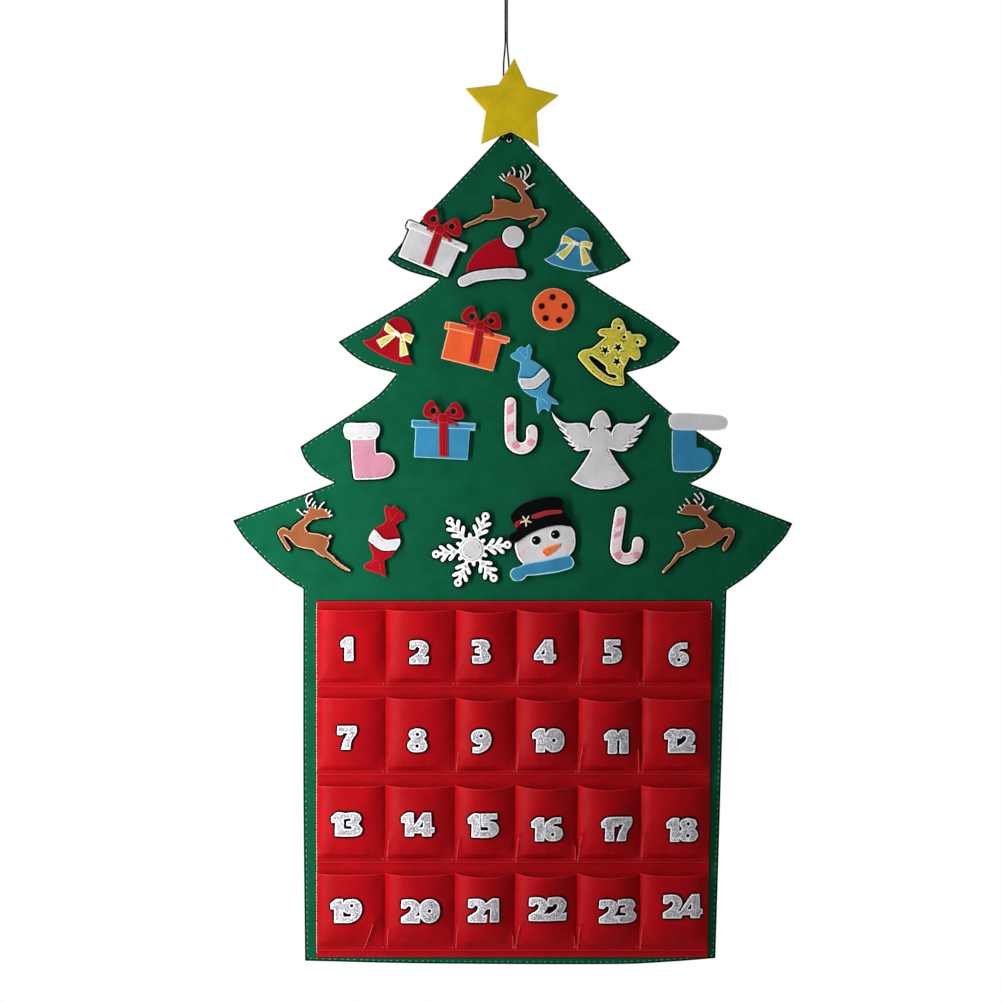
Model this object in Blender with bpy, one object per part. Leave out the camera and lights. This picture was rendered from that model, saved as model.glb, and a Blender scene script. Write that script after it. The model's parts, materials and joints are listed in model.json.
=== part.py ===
"""Advent calendar: a felt Christmas tree that hangs by a cord loop. Its trunk carries 24 numbered
pockets, and 21 felt ornaments cling to it with hook dots. Metres, +Z up, the front faces -Y.
The origin is the nail that the cord loop hangs on, in the plane of the tree's back."""

import math

import bpy
import bmesh
from mathutils import Vector
from mathutils.bvhtree import BVHTree
from mathutils.geometry import delaunay_2d_cdt

MM = 0.001
GAP = 0.3 * MM
MERGE = 0.001 * MM
FLAT_ANGLE = math.radians(0.05)

# Tree panel
TREE_WIDTH = 600 * MM
TIERS_HEIGHT = 499.5 * MM
TREE_FELT = 3 * MM
TREE_DROP = 156.4 * MM
TREE_SHIFT = 4.6 * MM
CORD_HOLE_RADIUS = 2.5 * MM
CORD_HOLE_BELOW_TIP = 16.8 * MM
CORD_HOLE_LEFT = 1.6 * MM

# Pocket panel
PANEL_WIDTH = 424 * MM
PANEL_TAPER = 5 * MM
PANEL_BELOW_TIERS = 11.5 * MM
PANEL_ABOVE_FOOT = 8 * MM
PANEL_SHIFT = 4 * MM
BACKING_FELT = 1.5 * MM
STRIP_FELT = 1.5 * MM
STRIP_HEIGHT = 83 * MM
STRIP_PITCH = 94 * MM
FIRST_MOUTH_BELOW = 9 * MM
PANEL_FOOT_MARGIN = 7 * MM
POCKET_DEPTH = 11.5 * MM
MOUTH_SAG = 4.5 * MM

# Numbers
NUMBER_HEIGHT = 25.5 * MM
NUMBER_FELT = 1.5 * MM
DIGIT_OVERLAP = 1.6 * MM
DIGIT_HOLE_RADIUS = 2 * MM

# Hook dots and ornament felt
HOOK_THICKNESS = 2 * MM
HOOK_RADIUS = 6 * MM
SMALL_HOOK_RADIUS = 4 * MM
STAR_HOOK_RADIUS = 2.8 * MM
ORNAMENT_FELT = 2 * MM
TRIM_FELT = 1.5 * MM
RAISED_FELT = 0.8 * MM

# Cord
CORD_DIAMETER = 1.66 * MM
CORD_POINT_STEP = 12 * MM
CORD_TURN = math.radians(11)
KNOT_RADII = (3.1 * MM, 2.0 * MM, 2.9 * MM)
KNOT_CENTRE = (3.0 * MM, -5.35 * MM, -172.9 * MM)

# Ornaments
STAR_WIDTH = 101 * MM
STAR_HEIGHT = 96 * MM
STAR_ABOVE_TIP = 22.4 * MM
STAR_RIGHT = 1.6 * MM
STAR_HOOK_BELOW_TIP = 4.2 * MM
REINDEER_WIDTH = 79 * MM
REINDEER_HEIGHT = 85 * MM
GIFT_WIDTH = 69 * MM
GIFT_HEIGHT = 40 * MM
RIBBON_WIDTH = 45 * MM
RIBBON_HEIGHT = 63.5 * MM
RIBBON_HOLE_RADIUS = 3.2 * MM
HAT_WIDTH = 56 * MM
HAT_HEIGHT = 38 * MM
HAT_BRIM_WIDTH = 11 * MM
POMPOM_RADIUS = 11.5 * MM
BELL_WIDTH = 60 * MM
BELL_HEIGHT = 45 * MM
BOW_WIDTH = 35 * MM
BOW_HEIGHT = 30 * MM
BISCUIT_RADIUS = 22.5 * MM
BISCUIT_DOT_RADIUS = 3.4 * MM
PIERCED_BELL_WIDTH = 73 * MM
PIERCED_BELL_HEIGHT = 73 * MM
PIERCED_STAR_RADIUS = 5.8 * MM
PIERCED_DOT_RADIUS = 2 * MM
CANDY_WIDTH = 35 * MM
CANDY_HEIGHT = 78 * MM
CANE_BAND = 11.8 * MM
CANE_HOOK_RADIUS = 11.4 * MM
CANE_STEM = 37.5 * MM
CANE_TIP = 8 * MM
ANGEL_WIDTH = 106 * MM
ANGEL_HEIGHT = 85 * MM
PINK_STOCKING_WIDTH = 54.5 * MM
PINK_STOCKING_HEIGHT = 60 * MM
BLUE_STOCKING_WIDTH = 61.5 * MM
BLUE_STOCKING_HEIGHT = 61 * MM
SNOWFLAKE_RADIUS = 38.5 * MM
SNOWFLAKE_RIM_RADIUS = 13.8 * MM
SNOWFLAKE_DISC_RADIUS = 11 * MM
SNOWFLAKE_ARM = 3.9 * MM
SNOWFLAKE_BARB = 10.5 * MM
SNOWFLAKE_SPIKE_REACH = 18.5 * MM
SNOWFLAKE_RING_RADIUS = 4.4 * MM
SNOWFLAKE_RING_HOLE_RADIUS = 1.5 * MM
FACE_WIDTH = 63 * MM
FACE_HEIGHT = 56 * MM
EYE_RADIUS = 5.2 * MM
CARROT_WIDTH = 18 * MM
CARROT_HEIGHT = 13 * MM
SCARF_LENGTH = 55 * MM
SCARF_BAND = 12 * MM
SCARF_END_RADIUS = 8 * MM
TOP_HAT_WIDTH = 70 * MM
TOP_HAT_HEIGHT = 49.6 * MM
HAT_STRIPE_BAND = 4 * MM

# Right and left edges of the tree: share of the width from the centre line, then the way down,
# which is 0 at the tip, 1 at the top of the trunk and 2 at its foot.
RIGHT_EDGE_SHARES = (
    (0.000, 0.000), (0.041, 0.056), (0.076, 0.099), (0.113, 0.148), (0.160, 0.207), (0.216, 0.292),
    (0.201, 0.301), (0.181, 0.314), (0.134, 0.332), (0.179, 0.368), (0.244, 0.416), (0.304, 0.467),
    (0.283, 0.495), (0.257, 0.515), (0.207, 0.533), (0.286, 0.618), (0.378, 0.695), (0.369, 0.726),
    (0.352, 0.750), (0.321, 0.771), (0.504, 0.856), (0.490, 0.886), (0.472, 0.910), (0.433, 0.960),
    (0.386, 1.000), (0.375, 1.533), (0.371, 1.719), (0.366, 1.984), (0.291, 1.993), (0.195, 2.000),
)
LEFT_EDGE_SHARES = (
    (0.162, 1.998), (0.367, 1.991), (0.370, 1.528), (0.370, 0.996), (0.391, 0.982), (0.429, 0.946),
    (0.455, 0.915), (0.477, 0.886), (0.496, 0.850), (0.314, 0.769), (0.346, 0.748), (0.367, 0.719),
    (0.376, 0.692), (0.240, 0.584), (0.203, 0.535), (0.253, 0.517), (0.284, 0.494), (0.308, 0.467),
    (0.232, 0.414), (0.167, 0.369), (0.127, 0.332), (0.160, 0.323), (0.192, 0.310), (0.220, 0.290),
    (0.160, 0.207), (0.113, 0.148), (0.041, 0.056),
)

# Column seams across the panel, the fullness and mouth sag of each column's pockets, and a
# pocket's profile across its width and up its height, from the sewn bottom edge to the mouth.
SEAM_SHARES = (0.0, 0.176, 0.353, 0.506, 0.664, 0.824, 1.0)
FULLNESS_SHARES = (0.86, 0.90, 1.0, 1.0, 1.0, 0.92)
SAG_SHARES = (0.15, 0.35, 0.8, 1.0, 1.0, 0.6)
ACROSS_SHARES = (
    (0.0, 0.0), (0.04, 0.42), (0.11, 0.86), (0.28, 1.0),
    (0.52, 0.97), (0.74, 0.90), (0.89, 0.74), (0.96, 0.38),
)
UP_SHARES = ((0.0, 0.0), (0.045, 0.0), (0.13, 0.50), (0.32, 0.82), (0.64, 0.95), (1.0, 1.0))

# Where each number's middle sits in its pocket: across from the left seam, up from the bottom edge.
NUMBER_PLACE_SHARES = (
    (0.45, 0.50), (0.48, 0.46), (0.42, 0.47), (0.46, 0.47), (0.52, 0.47), (0.52, 0.43),
    (0.45, 0.49), (0.46, 0.46), (0.43, 0.45), (0.52, 0.46), (0.60, 0.44), (0.55, 0.45),
    (0.45, 0.51), (0.47, 0.51), (0.47, 0.50), (0.51, 0.45), (0.62, 0.45), (0.60, 0.44),
    (0.44, 0.53), (0.51, 0.53), (0.48, 0.54), (0.53, 0.56), (0.65, 0.53), (0.62, 0.59),
)

# Digit outlines in shares of the number height, from the lower left corner.
DIGIT_SHARES = {
    "0": ((0.43, 0.00), (0.66, 0.06), (0.82, 0.24), (0.87, 0.50), (0.82, 0.76), (0.66, 0.94),
          (0.43, 1.00), (0.20, 0.94), (0.05, 0.76), (0.00, 0.50), (0.05, 0.24), (0.20, 0.06)),
    "1": ((0.16, 0.00), (0.55, 0.00), (0.54, 1.00), (0.26, 1.00), (0.00, 0.80), (0.02, 0.56),
          (0.18, 0.58)),
    "2": ((0.02, 0.00), (0.80, 0.00), (0.84, 0.34), (0.62, 0.28), (0.80, 0.55), (0.80, 0.78),
          (0.62, 0.96), (0.34, 1.00), (0.04, 0.97), (0.02, 0.62), (0.22, 0.60), (0.34, 0.74),
          (0.46, 0.66), (0.38, 0.48), (0.02, 0.24)),
    "3": ((0.06, 0.00), (0.50, 0.00), (0.76, 0.10), (0.84, 0.30), (0.66, 0.52), (0.80, 0.72),
          (0.68, 0.94), (0.40, 1.00), (0.04, 0.97), (0.04, 0.72), (0.34, 0.76), (0.36, 0.66),
          (0.16, 0.62), (0.16, 0.44), (0.38, 0.42), (0.38, 0.30), (0.04, 0.32)),
    "4": ((0.40, 0.00), (0.80, 0.00), (0.80, 0.14), (0.92, 0.16), (0.92, 0.38), (0.80, 0.38),
          (0.78, 1.00), (0.44, 1.00), (0.00, 0.36), (0.00, 0.14), (0.40, 0.14)),
    "5": ((0.02, 0.00), (0.46, 0.00), (0.74, 0.12), (0.82, 0.36), (0.70, 0.60), (0.44, 0.68),
          (0.44, 0.76), (0.76, 0.76), (0.76, 1.00), (0.08, 1.00), (0.10, 0.44), (0.36, 0.44),
          (0.40, 0.30), (0.02, 0.30)),
    "6": ((0.42, 0.00), (0.70, 0.06), (0.84, 0.26), (0.80, 0.50), (0.58, 0.62), (0.42, 0.60),
          (0.48, 0.74), (0.78, 0.74), (0.78, 1.00), (0.44, 0.98), (0.14, 0.80), (0.00, 0.50),
          (0.04, 0.20), (0.20, 0.04)),
    "7": ((0.16, 0.00), (0.56, 0.00), (0.60, 0.36), (0.82, 0.72), (0.82, 1.00), (0.02, 1.00),
          (0.00, 0.62), (0.24, 0.62), (0.26, 0.70), (0.46, 0.70), (0.28, 0.40)),
    "8": ((0.42, 0.00), (0.72, 0.05), (0.86, 0.24), (0.80, 0.44), (0.70, 0.54), (0.82, 0.72),
          (0.74, 0.92), (0.44, 1.00), (0.14, 0.92), (0.06, 0.74), (0.18, 0.54), (0.04, 0.40),
          (0.02, 0.22), (0.14, 0.05)),
}
DIGIT_WIDTH_SHARES = {
    "0": 0.87, "1": 0.55, "2": 0.84, "3": 0.84, "4": 0.92, "5": 0.82, "6": 0.84, "7": 0.82, "8": 0.86, "9": 0.84,
}
DIGIT_HOLE_SHARES = {
    "0": ((0.43, 0.50),), "6": ((0.42, 0.28),), "8": ((0.44, 0.75), (0.42, 0.26)), "9": ((0.42, 0.72),),
}
FOUR_HOLE_SHARES = ((0.26, 0.38), (0.44, 0.38), (0.44, 0.64))

# Ornament outlines in shares of their own width and height, from the lower left corner.
STAR_SHARES = (
    (0.524, 1.0), (0.355, 0.703), (0.0, 0.66), (0.222, 0.398), (0.17, 0.039),
    (0.49, 0.178), (0.785, 0.0), (0.762, 0.39), (1.0, 0.586), (0.662, 0.683),
)
REINDEER_SHARES = (
    (0.995, 0.01), (0.82, 0.15), (0.76, 0.21), (0.66, 0.28), (0.69, 0.34), (0.71, 0.41), (0.75, 0.46),
    (0.71, 0.47), (0.67, 0.43), (0.62, 0.48), (0.54, 0.495), (0.43, 0.49), (0.37, 0.55), (0.39, 0.61),
    (0.46, 0.655), (0.53, 0.67), (0.66, 0.69), (0.75, 0.72), (0.73, 0.745), (0.68, 0.745), (0.75, 0.80),
    (0.73, 0.82), (0.65, 0.785), (0.65, 0.89), (0.62, 0.89), (0.59, 0.80), (0.52, 0.79), (0.52, 0.90),
    (0.49, 0.92), (0.46, 0.84), (0.47, 1.0), (0.42, 0.96), (0.39, 0.88), (0.42, 0.79), (0.38, 0.76),
    (0.31, 0.755), (0.325, 0.71), (0.36, 0.685), (0.32, 0.64), (0.22, 0.585), (0.19, 0.53), (0.13, 0.53),
    (0.067, 0.56), (0.01, 0.51), (0.015, 0.46), (0.05, 0.38), (0.12, 0.28), (0.15, 0.265), (0.165, 0.30),
    (0.10, 0.405), (0.09, 0.465), (0.18, 0.405), (0.25, 0.34), (0.33, 0.305), (0.47, 0.29), (0.57, 0.22),
    (0.71, 0.175), (0.76, 0.115), (0.86, 0.05), (0.97, 0.0),
)
GIFT_SHARES = (
    (0.065, 0.0), (0.90, 0.0), (0.91, 0.79), (1.0, 0.79), (1.0, 1.0), (0.0, 1.0), (0.0, 0.79), (0.065, 0.79),
)
RIBBON_SHARES = (
    (0.37, 0.0), (0.625, 0.0), (0.625, 0.57), (0.70, 0.59), (0.78, 0.54), (0.82, 0.60), (0.74, 0.64),
    (0.96, 0.66), (1.0, 0.76), (0.95, 0.90), (0.84, 0.97), (0.70, 0.93), (0.56, 0.80), (0.47, 0.77),
    (0.37, 0.84), (0.26, 1.0), (0.12, 0.96), (0.03, 0.83), (0.0, 0.72), (0.04, 0.66), (0.25, 0.64),
    (0.18, 0.60), (0.23, 0.55), (0.37, 0.59),
)
RIBBON_HOLE_SHARES = ((0.28, 0.82), (0.73, 0.81))
HAT_SHARES = (
    (0.0, 0.03), (0.5, 0.0), (1.0, 0.13), (0.94, 0.50), (0.88, 0.82), (0.72, 1.0), (0.55, 0.95),
    (0.32, 0.77), (0.15, 0.54), (0.04, 0.27),
)
HAT_BRIM_SHARES = ((-0.06, -0.24), (0.18, -0.10), (0.47, -0.04), (0.76, -0.01), (1.05, -0.03))
POMPOM_SHARES = (0.90, 1.02)
BELL_SHARES = (
    (0.0, 0.12), (0.15, 0.04), (0.5, 0.0), (0.85, 0.04), (1.0, 0.12), (0.88, 0.25), (0.79, 0.44),
    (0.76, 0.68), (0.70, 0.88), (0.58, 1.0), (0.42, 1.0), (0.30, 0.88), (0.24, 0.68), (0.21, 0.44),
    (0.12, 0.25),
)
BOW_SHARES = (
    (0.0, 0.98), (0.03, 0.64), (0.32, 0.70), (0.07, 0.14), (0.30, 0.0), (0.50, 0.62), (0.70, 0.0),
    (0.93, 0.14), (0.68, 0.70), (0.97, 0.64), (1.0, 0.98), (0.60, 0.88), (0.40, 0.88),
)
BOW_PLACE_SHARES = (0.5, 0.46)
BISCUIT_DOT_SHARES = ((-0.05, 0.57), (-0.57, 0.14), (0.52, 0.14), (-0.38, -0.43), (0.27, -0.52))
PIERCED_BELL_SHARES = (
    (0.0, 0.45), (0.03, 0.50), (0.09, 0.535), (0.18, 0.545), (0.23, 0.573), (0.33, 0.655), (0.405, 0.72),
    (0.33, 0.735), (0.283, 0.775), (0.31, 0.822), (0.38, 0.845), (0.49, 0.845), (0.49, 0.91), (0.53, 0.973),
    (0.584, 1.0), (0.637, 0.973), (0.68, 0.90), (0.712, 0.80), (0.765, 0.805), (0.785, 0.755), (0.92, 0.757),
    (0.98, 0.71), (1.0, 0.653), (0.965, 0.59), (0.88, 0.57), (0.91, 0.50), (0.916, 0.44), (0.885, 0.387),
    (0.832, 0.373), (0.757, 0.43), (0.71, 0.324), (0.668, 0.244), (0.668, 0.138), (0.68, 0.04), (0.646, 0.0),
    (0.55, 0.005), (0.434, 0.031), (0.31, 0.102), (0.186, 0.20), (0.08, 0.316), (0.01, 0.404),
)
CRESCENT_SHARES = (
    (0.16, 0.436), (0.195, 0.44), (0.257, 0.404), (0.345, 0.342), (0.416, 0.28), (0.407, 0.236),
    (0.45, 0.182), (0.54, 0.164), (0.575, 0.138), (0.544, 0.107), (0.451, 0.138), (0.327, 0.227),
    (0.221, 0.333), (0.168, 0.396),
)
PIERCED_STAR_SHARES = ((0.398, 0.52), (0.588, 0.564), (0.571, 0.356))
PIERCED_DOT_SHARES = ((0.677, 0.716), (0.872, 0.64), (0.597, 0.849))
CANDY_SHARES = (
    (0.16, 0.07), (0.34, 0.0), (0.50, 0.05), (0.64, 0.0), (0.84, 0.06), (0.62, 0.24), (0.88, 0.33),
    (1.0, 0.50), (0.90, 0.66), (0.62, 0.76), (0.84, 0.93), (0.66, 1.0), (0.50, 0.95), (0.36, 1.0),
    (0.16, 0.94), (0.38, 0.76), (0.10, 0.66), (0.0, 0.50), (0.12, 0.33), (0.38, 0.24),
)
CANDY_BAND_SHARES = ((0.10, 0.44), (0.5, 0.36), (0.90, 0.44), (0.90, 0.60), (0.5, 0.52), (0.10, 0.60))
ANGEL_HALF_SHARES = (
    (0.0, 0.0), (0.16, 0.04), (0.285, 0.135), (0.095, 0.50), (0.27, 0.495), (0.32, 0.545), (0.285, 0.565),
    (0.36, 0.61), (0.33, 0.635), (0.405, 0.68), (0.375, 0.70), (0.45, 0.755), (0.42, 0.78), (0.475, 0.83),
    (0.5, 0.935), (0.42, 0.86), (0.34, 0.825), (0.18, 0.82), (0.125, 0.74), (0.065, 0.765), (0.11, 0.785),
    (0.10, 0.88), (0.075, 0.965), (0.0, 1.0),
)
PINK_STOCKING_SHARES = (
    (0.22, 0.0), (0.60, 0.01), (0.82, 0.04), (0.95, 0.12), (1.0, 0.26), (0.94, 0.40), (0.80, 0.48),
    (0.63, 0.47), (0.63, 0.73), (0.69, 0.80), (0.69, 0.93), (0.62, 1.0), (0.08, 1.0), (0.02, 0.95),
    (0.0, 0.87), (0.03, 0.79), (0.12, 0.73), (0.15, 0.38), (0.19, 0.05),
)
PINK_CUFF_SHARES = (
    (0.14, 0.76), (0.62, 0.76), (0.665, 0.82), (0.665, 0.92), (0.61, 0.975), (0.09, 0.975), (0.035, 0.88),
)
BLUE_STOCKING_SHARES = (
    (0.12, 0.0), (0.58, 0.0), (0.70, 0.08), (0.76, 0.20), (0.72, 0.34), (0.62, 0.41), (0.48, 0.43),
    (0.48, 0.74), (0.88, 0.75), (0.97, 0.80), (1.0, 0.87), (0.97, 0.95), (0.88, 0.99), (0.10, 1.0),
    (0.02, 0.96), (0.0, 0.88), (0.05, 0.78), (0.065, 0.74), (0.06, 0.40), (0.07, 0.05),
)
BLUE_CUFF_SHARES = (
    (0.09, 0.77), (0.88, 0.775), (0.95, 0.82), (0.975, 0.87), (0.95, 0.93), (0.87, 0.965), (0.10, 0.975),
    (0.03, 0.93), (0.03, 0.85),
)
SNOWFLAKE_BARB_SHARES = (0.44, 0.66)
FACE_EYE_SHARES = ((0.35, 0.545), (0.67, 0.64))
CARROT_PLACE_SHARES = (0.60, 0.40)
CARROT_SHARES = ((0.0, 0.12), (0.25, 0.0), (0.95, 0.62), (1.0, 0.82), (0.85, 1.0), (0.05, 0.45))
TOP_HAT_SHARES = (
    (0.0, 0.121), (0.021, 0.045), (0.113, 0.0), (0.183, 0.06), (0.311, 0.181), (0.474, 0.287),
    (0.635, 0.355), (0.796, 0.387), (0.957, 0.355), (1.0, 0.36), (0.979, 0.469), (0.882, 0.62),
    (0.856, 0.758), (0.85, 0.894), (0.828, 0.961), (0.742, 1.0), (0.571, 0.991), (0.367, 0.924),
    (0.193, 0.819), (0.097, 0.698), (0.043, 0.59), (0.06, 0.484), (0.097, 0.393), (0.14, 0.287),
    (0.043, 0.197),
)
HAT_STRIPE_SHARES = ((0.18, 0.42), (0.30, 0.50), (0.44, 0.575), (0.60, 0.63), (0.79, 0.665))
HAT_OFFSET_SHARES = (-0.088, 0.43)
SCARF_PLACE_SHARES = (0.46, -0.02)
SCARF_TILT = 12

# Ornament places: share of the tree width from its centre line, way down as above, and clockwise
# tilt in degrees as seen from the front.
PLACE_SHARES = {
    "reindeer_top": (0.0035, 0.1625, 20),
    "gift_white": (-0.1415, 0.2703, 23),
    "santa_hat": (-0.0325, 0.2820, 0),
    "bell_blue": (0.1142, 0.2685, 11),
    "biscuit": (0.0765, 0.3973, 0),
    "bell_red": (-0.2070, 0.4595, 25),
    "gift_orange": (-0.0675, 0.4784, 14),
    "bell_yellow": (0.1814, 0.4885, 0),
    "candy_blue": (0.0425, 0.5459, -26),
    "gift_blue": (-0.1205, 0.6775, 3),
    "candy_cane_upper": (0.0190, 0.6351, 0),
    "angel": (0.1608, 0.6973, 0),
    "stocking_pink": (-0.2517, 0.7027, 0),
    "stocking_blue": (0.3338, 0.6847, 0),
    "reindeer_left": (-0.3505, 0.8757, 0),
    "candy_red": (-0.2235, 0.8946, 18),
    "snowflake": (-0.0689, 0.9121, 22.5),
    "snowman": (0.0625, 0.8973, 0),
    "candy_cane_lower": (0.2110, 0.8721, 8),
    "reindeer_right": (0.3354, 0.8766, 0),
}

# Hanging cord, from the knot in front of the hole, up the front of the tip, round the nail, down
# behind the tip and through the hole.
CORD_ROUTE = (
    (0.0030, -0.0054, -0.1726), (0.0028, -0.0047, -0.1695), (0.0017, -0.00425, -0.1660),
    (0.0003, -0.00415, -0.1610), (-0.0006, -0.00415, -0.1540), (-0.0014, -0.0040, -0.1420),
    (-0.0021, -0.0033, -0.1250), (-0.0027, -0.0025, -0.1080), (-0.0027, -0.0019, -0.0910),
    (-0.0016, -0.0016, -0.0780), (-0.00098, -0.0015, -0.0680), (-0.00098, -0.0015, -0.0540),
    (-0.00098, -0.0015, -0.0400), (-0.00098, -0.0015, -0.0270), (-0.00125, -0.0015, -0.0170),
    (-0.0025, -0.0015, -0.0090), (-0.0034, -0.0015, -0.0030), (-0.00245, -0.0015, -0.00015),
    (0.0, -0.0015, 0.00083), (0.00245, -0.0015, -0.00015), (0.0034, -0.0015, -0.0030),
    (0.0025, -0.0015, -0.0090), (0.00125, -0.0015, -0.0170), (0.00098, -0.0015, -0.0270),
    (0.00098, -0.0015, -0.0400), (0.00098, -0.0015, -0.0540), (0.00098, -0.0015, -0.0680),
    (0.0016, -0.0015, -0.0780), (0.0027, -0.0012, -0.0910), (0.0031, -0.0007, -0.1080),
    (0.0032, 0.0003, -0.1250), (0.0032, 0.0012, -0.1420), (0.0031, 0.0015, -0.1540),
    (0.0030, 0.0015, -0.1650), (0.0030, 0.0015, -0.1698), (0.0030, 0.00115, -0.1713),
    (0.0030, 0.0003, -0.1725), (0.0030, -0.0010, -0.1732), (0.0030, -0.0026, -0.1733),
    (0.0030, -0.0050, -0.1733),
)

COLOURS = {
    "felt_green": (0.02, 0.20, 0.10), "felt_red": (0.55, 0.01, 0.02), "cord_red": (0.16, 0.01, 0.01),
    "glitter_white": (0.62, 0.62, 0.65), "felt_yellow": (0.58, 0.42, 0.02), "felt_brown": (0.30, 0.11, 0.05),
    "felt_white": (0.66, 0.66, 0.68), "felt_orange": (0.75, 0.13, 0.02), "felt_blue": (0.05, 0.26, 0.45),
    "felt_lemon": (0.62, 0.54, 0.08), "felt_pink": (0.75, 0.36, 0.45), "felt_black": (0.01, 0.01, 0.01),
}
FELT_ROUGHNESS = 0.95


def clear_scene():
    for thing in list(bpy.data.objects):
        bpy.data.objects.remove(thing)


def material(name):
    found = bpy.data.materials.get(name)
    if found:
        return found
    made = bpy.data.materials.new(name)
    made.use_nodes = True
    shader = made.node_tree.nodes["Principled BSDF"]
    shader.inputs["Base Color"].default_value = (*COLOURS[name], 1.0)
    shader.inputs["Roughness"].default_value = FELT_ROUGHNESS
    shader.inputs["Metallic"].default_value = 0.0
    return made


def add_object(name, bm, colour, parent=None, location=(0, 0, 0)):
    bmesh.ops.recalc_face_normals(bm, faces=bm.faces)
    mesh = bpy.data.meshes.new(name)
    bm.to_mesh(mesh)
    bm.free()
    mesh.materials.append(material(colour))
    made = bpy.data.objects.new(name, mesh)
    made.location = location
    made.parent = parent
    bpy.context.scene.collection.objects.link(made)
    return made


# Flat outlines: lists of (x, z) points, seen from the front.

def scaled(shares, width, height):
    """An outline in shares of a box, as points round the box's middle."""
    return [((u - 0.5) * width, (v - 0.5) * height) for u, v in shares]


def spot(share, width, height):
    return scaled([share], width, height)[0]


def mirrored(points):
    return [(-x, z) for x, z in points]


def moved(points, to):
    return [(x + to[0], z + to[1]) for x, z in points]


def turned(points, degrees):
    """Points turned clockwise, as seen from the front."""
    c, s = math.cos(math.radians(degrees)), math.sin(math.radians(degrees))
    return [(x * c + z * s, z * c - x * s) for x, z in points]


def circle(radius, sides, centre=(0, 0)):
    step = 2 * math.pi / sides
    return [(centre[0] + radius * math.cos(i * step), centre[1] + radius * math.sin(i * step)) for i in range(sides)]


def ellipse(width, height, sides):
    return [(x * width / 2, z * height / 2) for x, z in circle(1, sides)]


def star(radius, centre, points=5, inner_share=0.36):
    """A star that stands on one point."""
    tips = []
    for i in range(2 * points):
        r = radius if i % 2 == 0 else radius * inner_share
        a = i * math.pi / points - math.pi / 2
        tips.append((centre[0] + r * math.cos(a), centre[1] + r * math.sin(a)))
    return tips


def band(line, width, end_sides=4):
    """The outline of a band of even width with round ends, which follows a line of points."""
    path = [Vector(p) for p in line]
    sides = []
    for i, here in enumerate(path):
        before = (here - path[i - 1]).normalized() if i else (path[1] - here).normalized()
        after = (path[i + 1] - here).normalized() if i < len(path) - 1 else before
        along = (before + after).normalized()
        reach = width / 2 / max(along.dot(after), 0.5)
        sides.append((here, Vector((-along.y, along.x)) * reach))
    right = [tuple(p - n) for p, n in sides]
    left = [tuple(p + n) for p, n in reversed(sides)]

    def cap(centre, start):
        turn = math.pi / end_sides
        ends = []
        for i in range(1, end_sides):
            c, s = math.cos(i * turn), math.sin(i * turn)
            ends.append((centre.x + start.x * c - start.y * s, centre.y + start.x * s + start.y * c))
        return ends

    return right + cap(sides[-1][0], -sides[-1][1]) + left + cap(sides[0][0], sides[0][1])


def counterclockwise(points):
    area = sum(a[0] * b[1] - b[0] * a[1] for a, b in zip(points, points[1:] + points[:1]))
    return points if area > 0 else points[::-1]


def felt(outlines, thickness, back, holes=(), raised=(), raised_by=RAISED_FELT, dots=()):
    """A plate of felt cut to outlines that may overlap, with holes, with raised trim inside its
    outline on the front, and with hook dots on the back. back is the y of the plate's back."""
    groups = (outlines, holes, raised, dots)
    loops = [counterclockwise(list(loop)) for group in groups for loop in group]
    kinds = [kind for kind, group in enumerate(groups) for _ in group]
    points = [Vector(p) for loop in loops for p in loop]
    faces, start = [], 0
    for loop in loops:
        faces.append(list(range(start, start + len(loop))))
        start += len(loop)
    spots, _, triangles, _, _, owners = delaunay_2d_cdt(points, [], faces, 1, MERGE)
    front = back - thickness
    levels = {}
    for number, triangle in enumerate(triangles):
        covered = {kinds[owner] for owner in owners[number]}
        if 0 in covered and 1 not in covered:
            levels[number] = (
                front - (raised_by if 2 in covered else 0),
                back + (HOOK_THICKNESS if 3 in covered else 0),
            )
    bm = bmesh.new()
    corners = {}

    def corner(index, y):
        if (index, y) not in corners:
            corners[index, y] = bm.verts.new((spots[index][0], y, spots[index][1]))
        return corners[index, y]

    edges = {}
    for number, (near, far) in levels.items():
        triangle = triangles[number]
        bm.faces.new([corner(i, near) for i in triangle])
        bm.faces.new([corner(i, far) for i in reversed(triangle)])
        for a, b in zip(triangle, triangle[1:] + triangle[:1]):
            edges.setdefault(frozenset((a, b)), []).append(number)
    for edge, beside in edges.items():
        a, b = tuple(edge)
        walls = [levels[beside[0]]]
        if len(beside) == 2:
            one, other = levels[beside[0]], levels[beside[1]]
            walls = [(one[side], other[side]) for side in (0, 1) if one[side] != other[side]]
        for low, high in walls:
            bm.faces.new([corner(a, low), corner(b, low), corner(b, high), corner(a, high)])
    bmesh.ops.recalc_face_normals(bm, faces=bm.faces)
    bmesh.ops.dissolve_limit(bm, angle_limit=FLAT_ANGLE, verts=bm.verts, edges=bm.edges, delimit={"NORMAL"})
    bmesh.ops.triangulate(bm, faces=bm.faces)
    return bm


# Tree, backing and pockets

ROWS = 4
PANEL_HEIGHT = FIRST_MOUTH_BELOW + (ROWS - 1) * STRIP_PITCH + STRIP_HEIGHT + PANEL_FOOT_MARGIN
TRUNK_HEIGHT = PANEL_BELOW_TIERS + PANEL_HEIGHT + PANEL_ABOVE_FOOT


def tree_point(width_share, way_down):
    """A place on the tree, in world x and z. way_down is 0 at the tip, 1 at the top of the trunk
    and 2 at its foot."""
    down = min(way_down, 1) * TIERS_HEIGHT + max(way_down - 1, 0) * TRUNK_HEIGHT
    return TREE_SHIFT + width_share * TREE_WIDTH, -TREE_DROP - down


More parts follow.
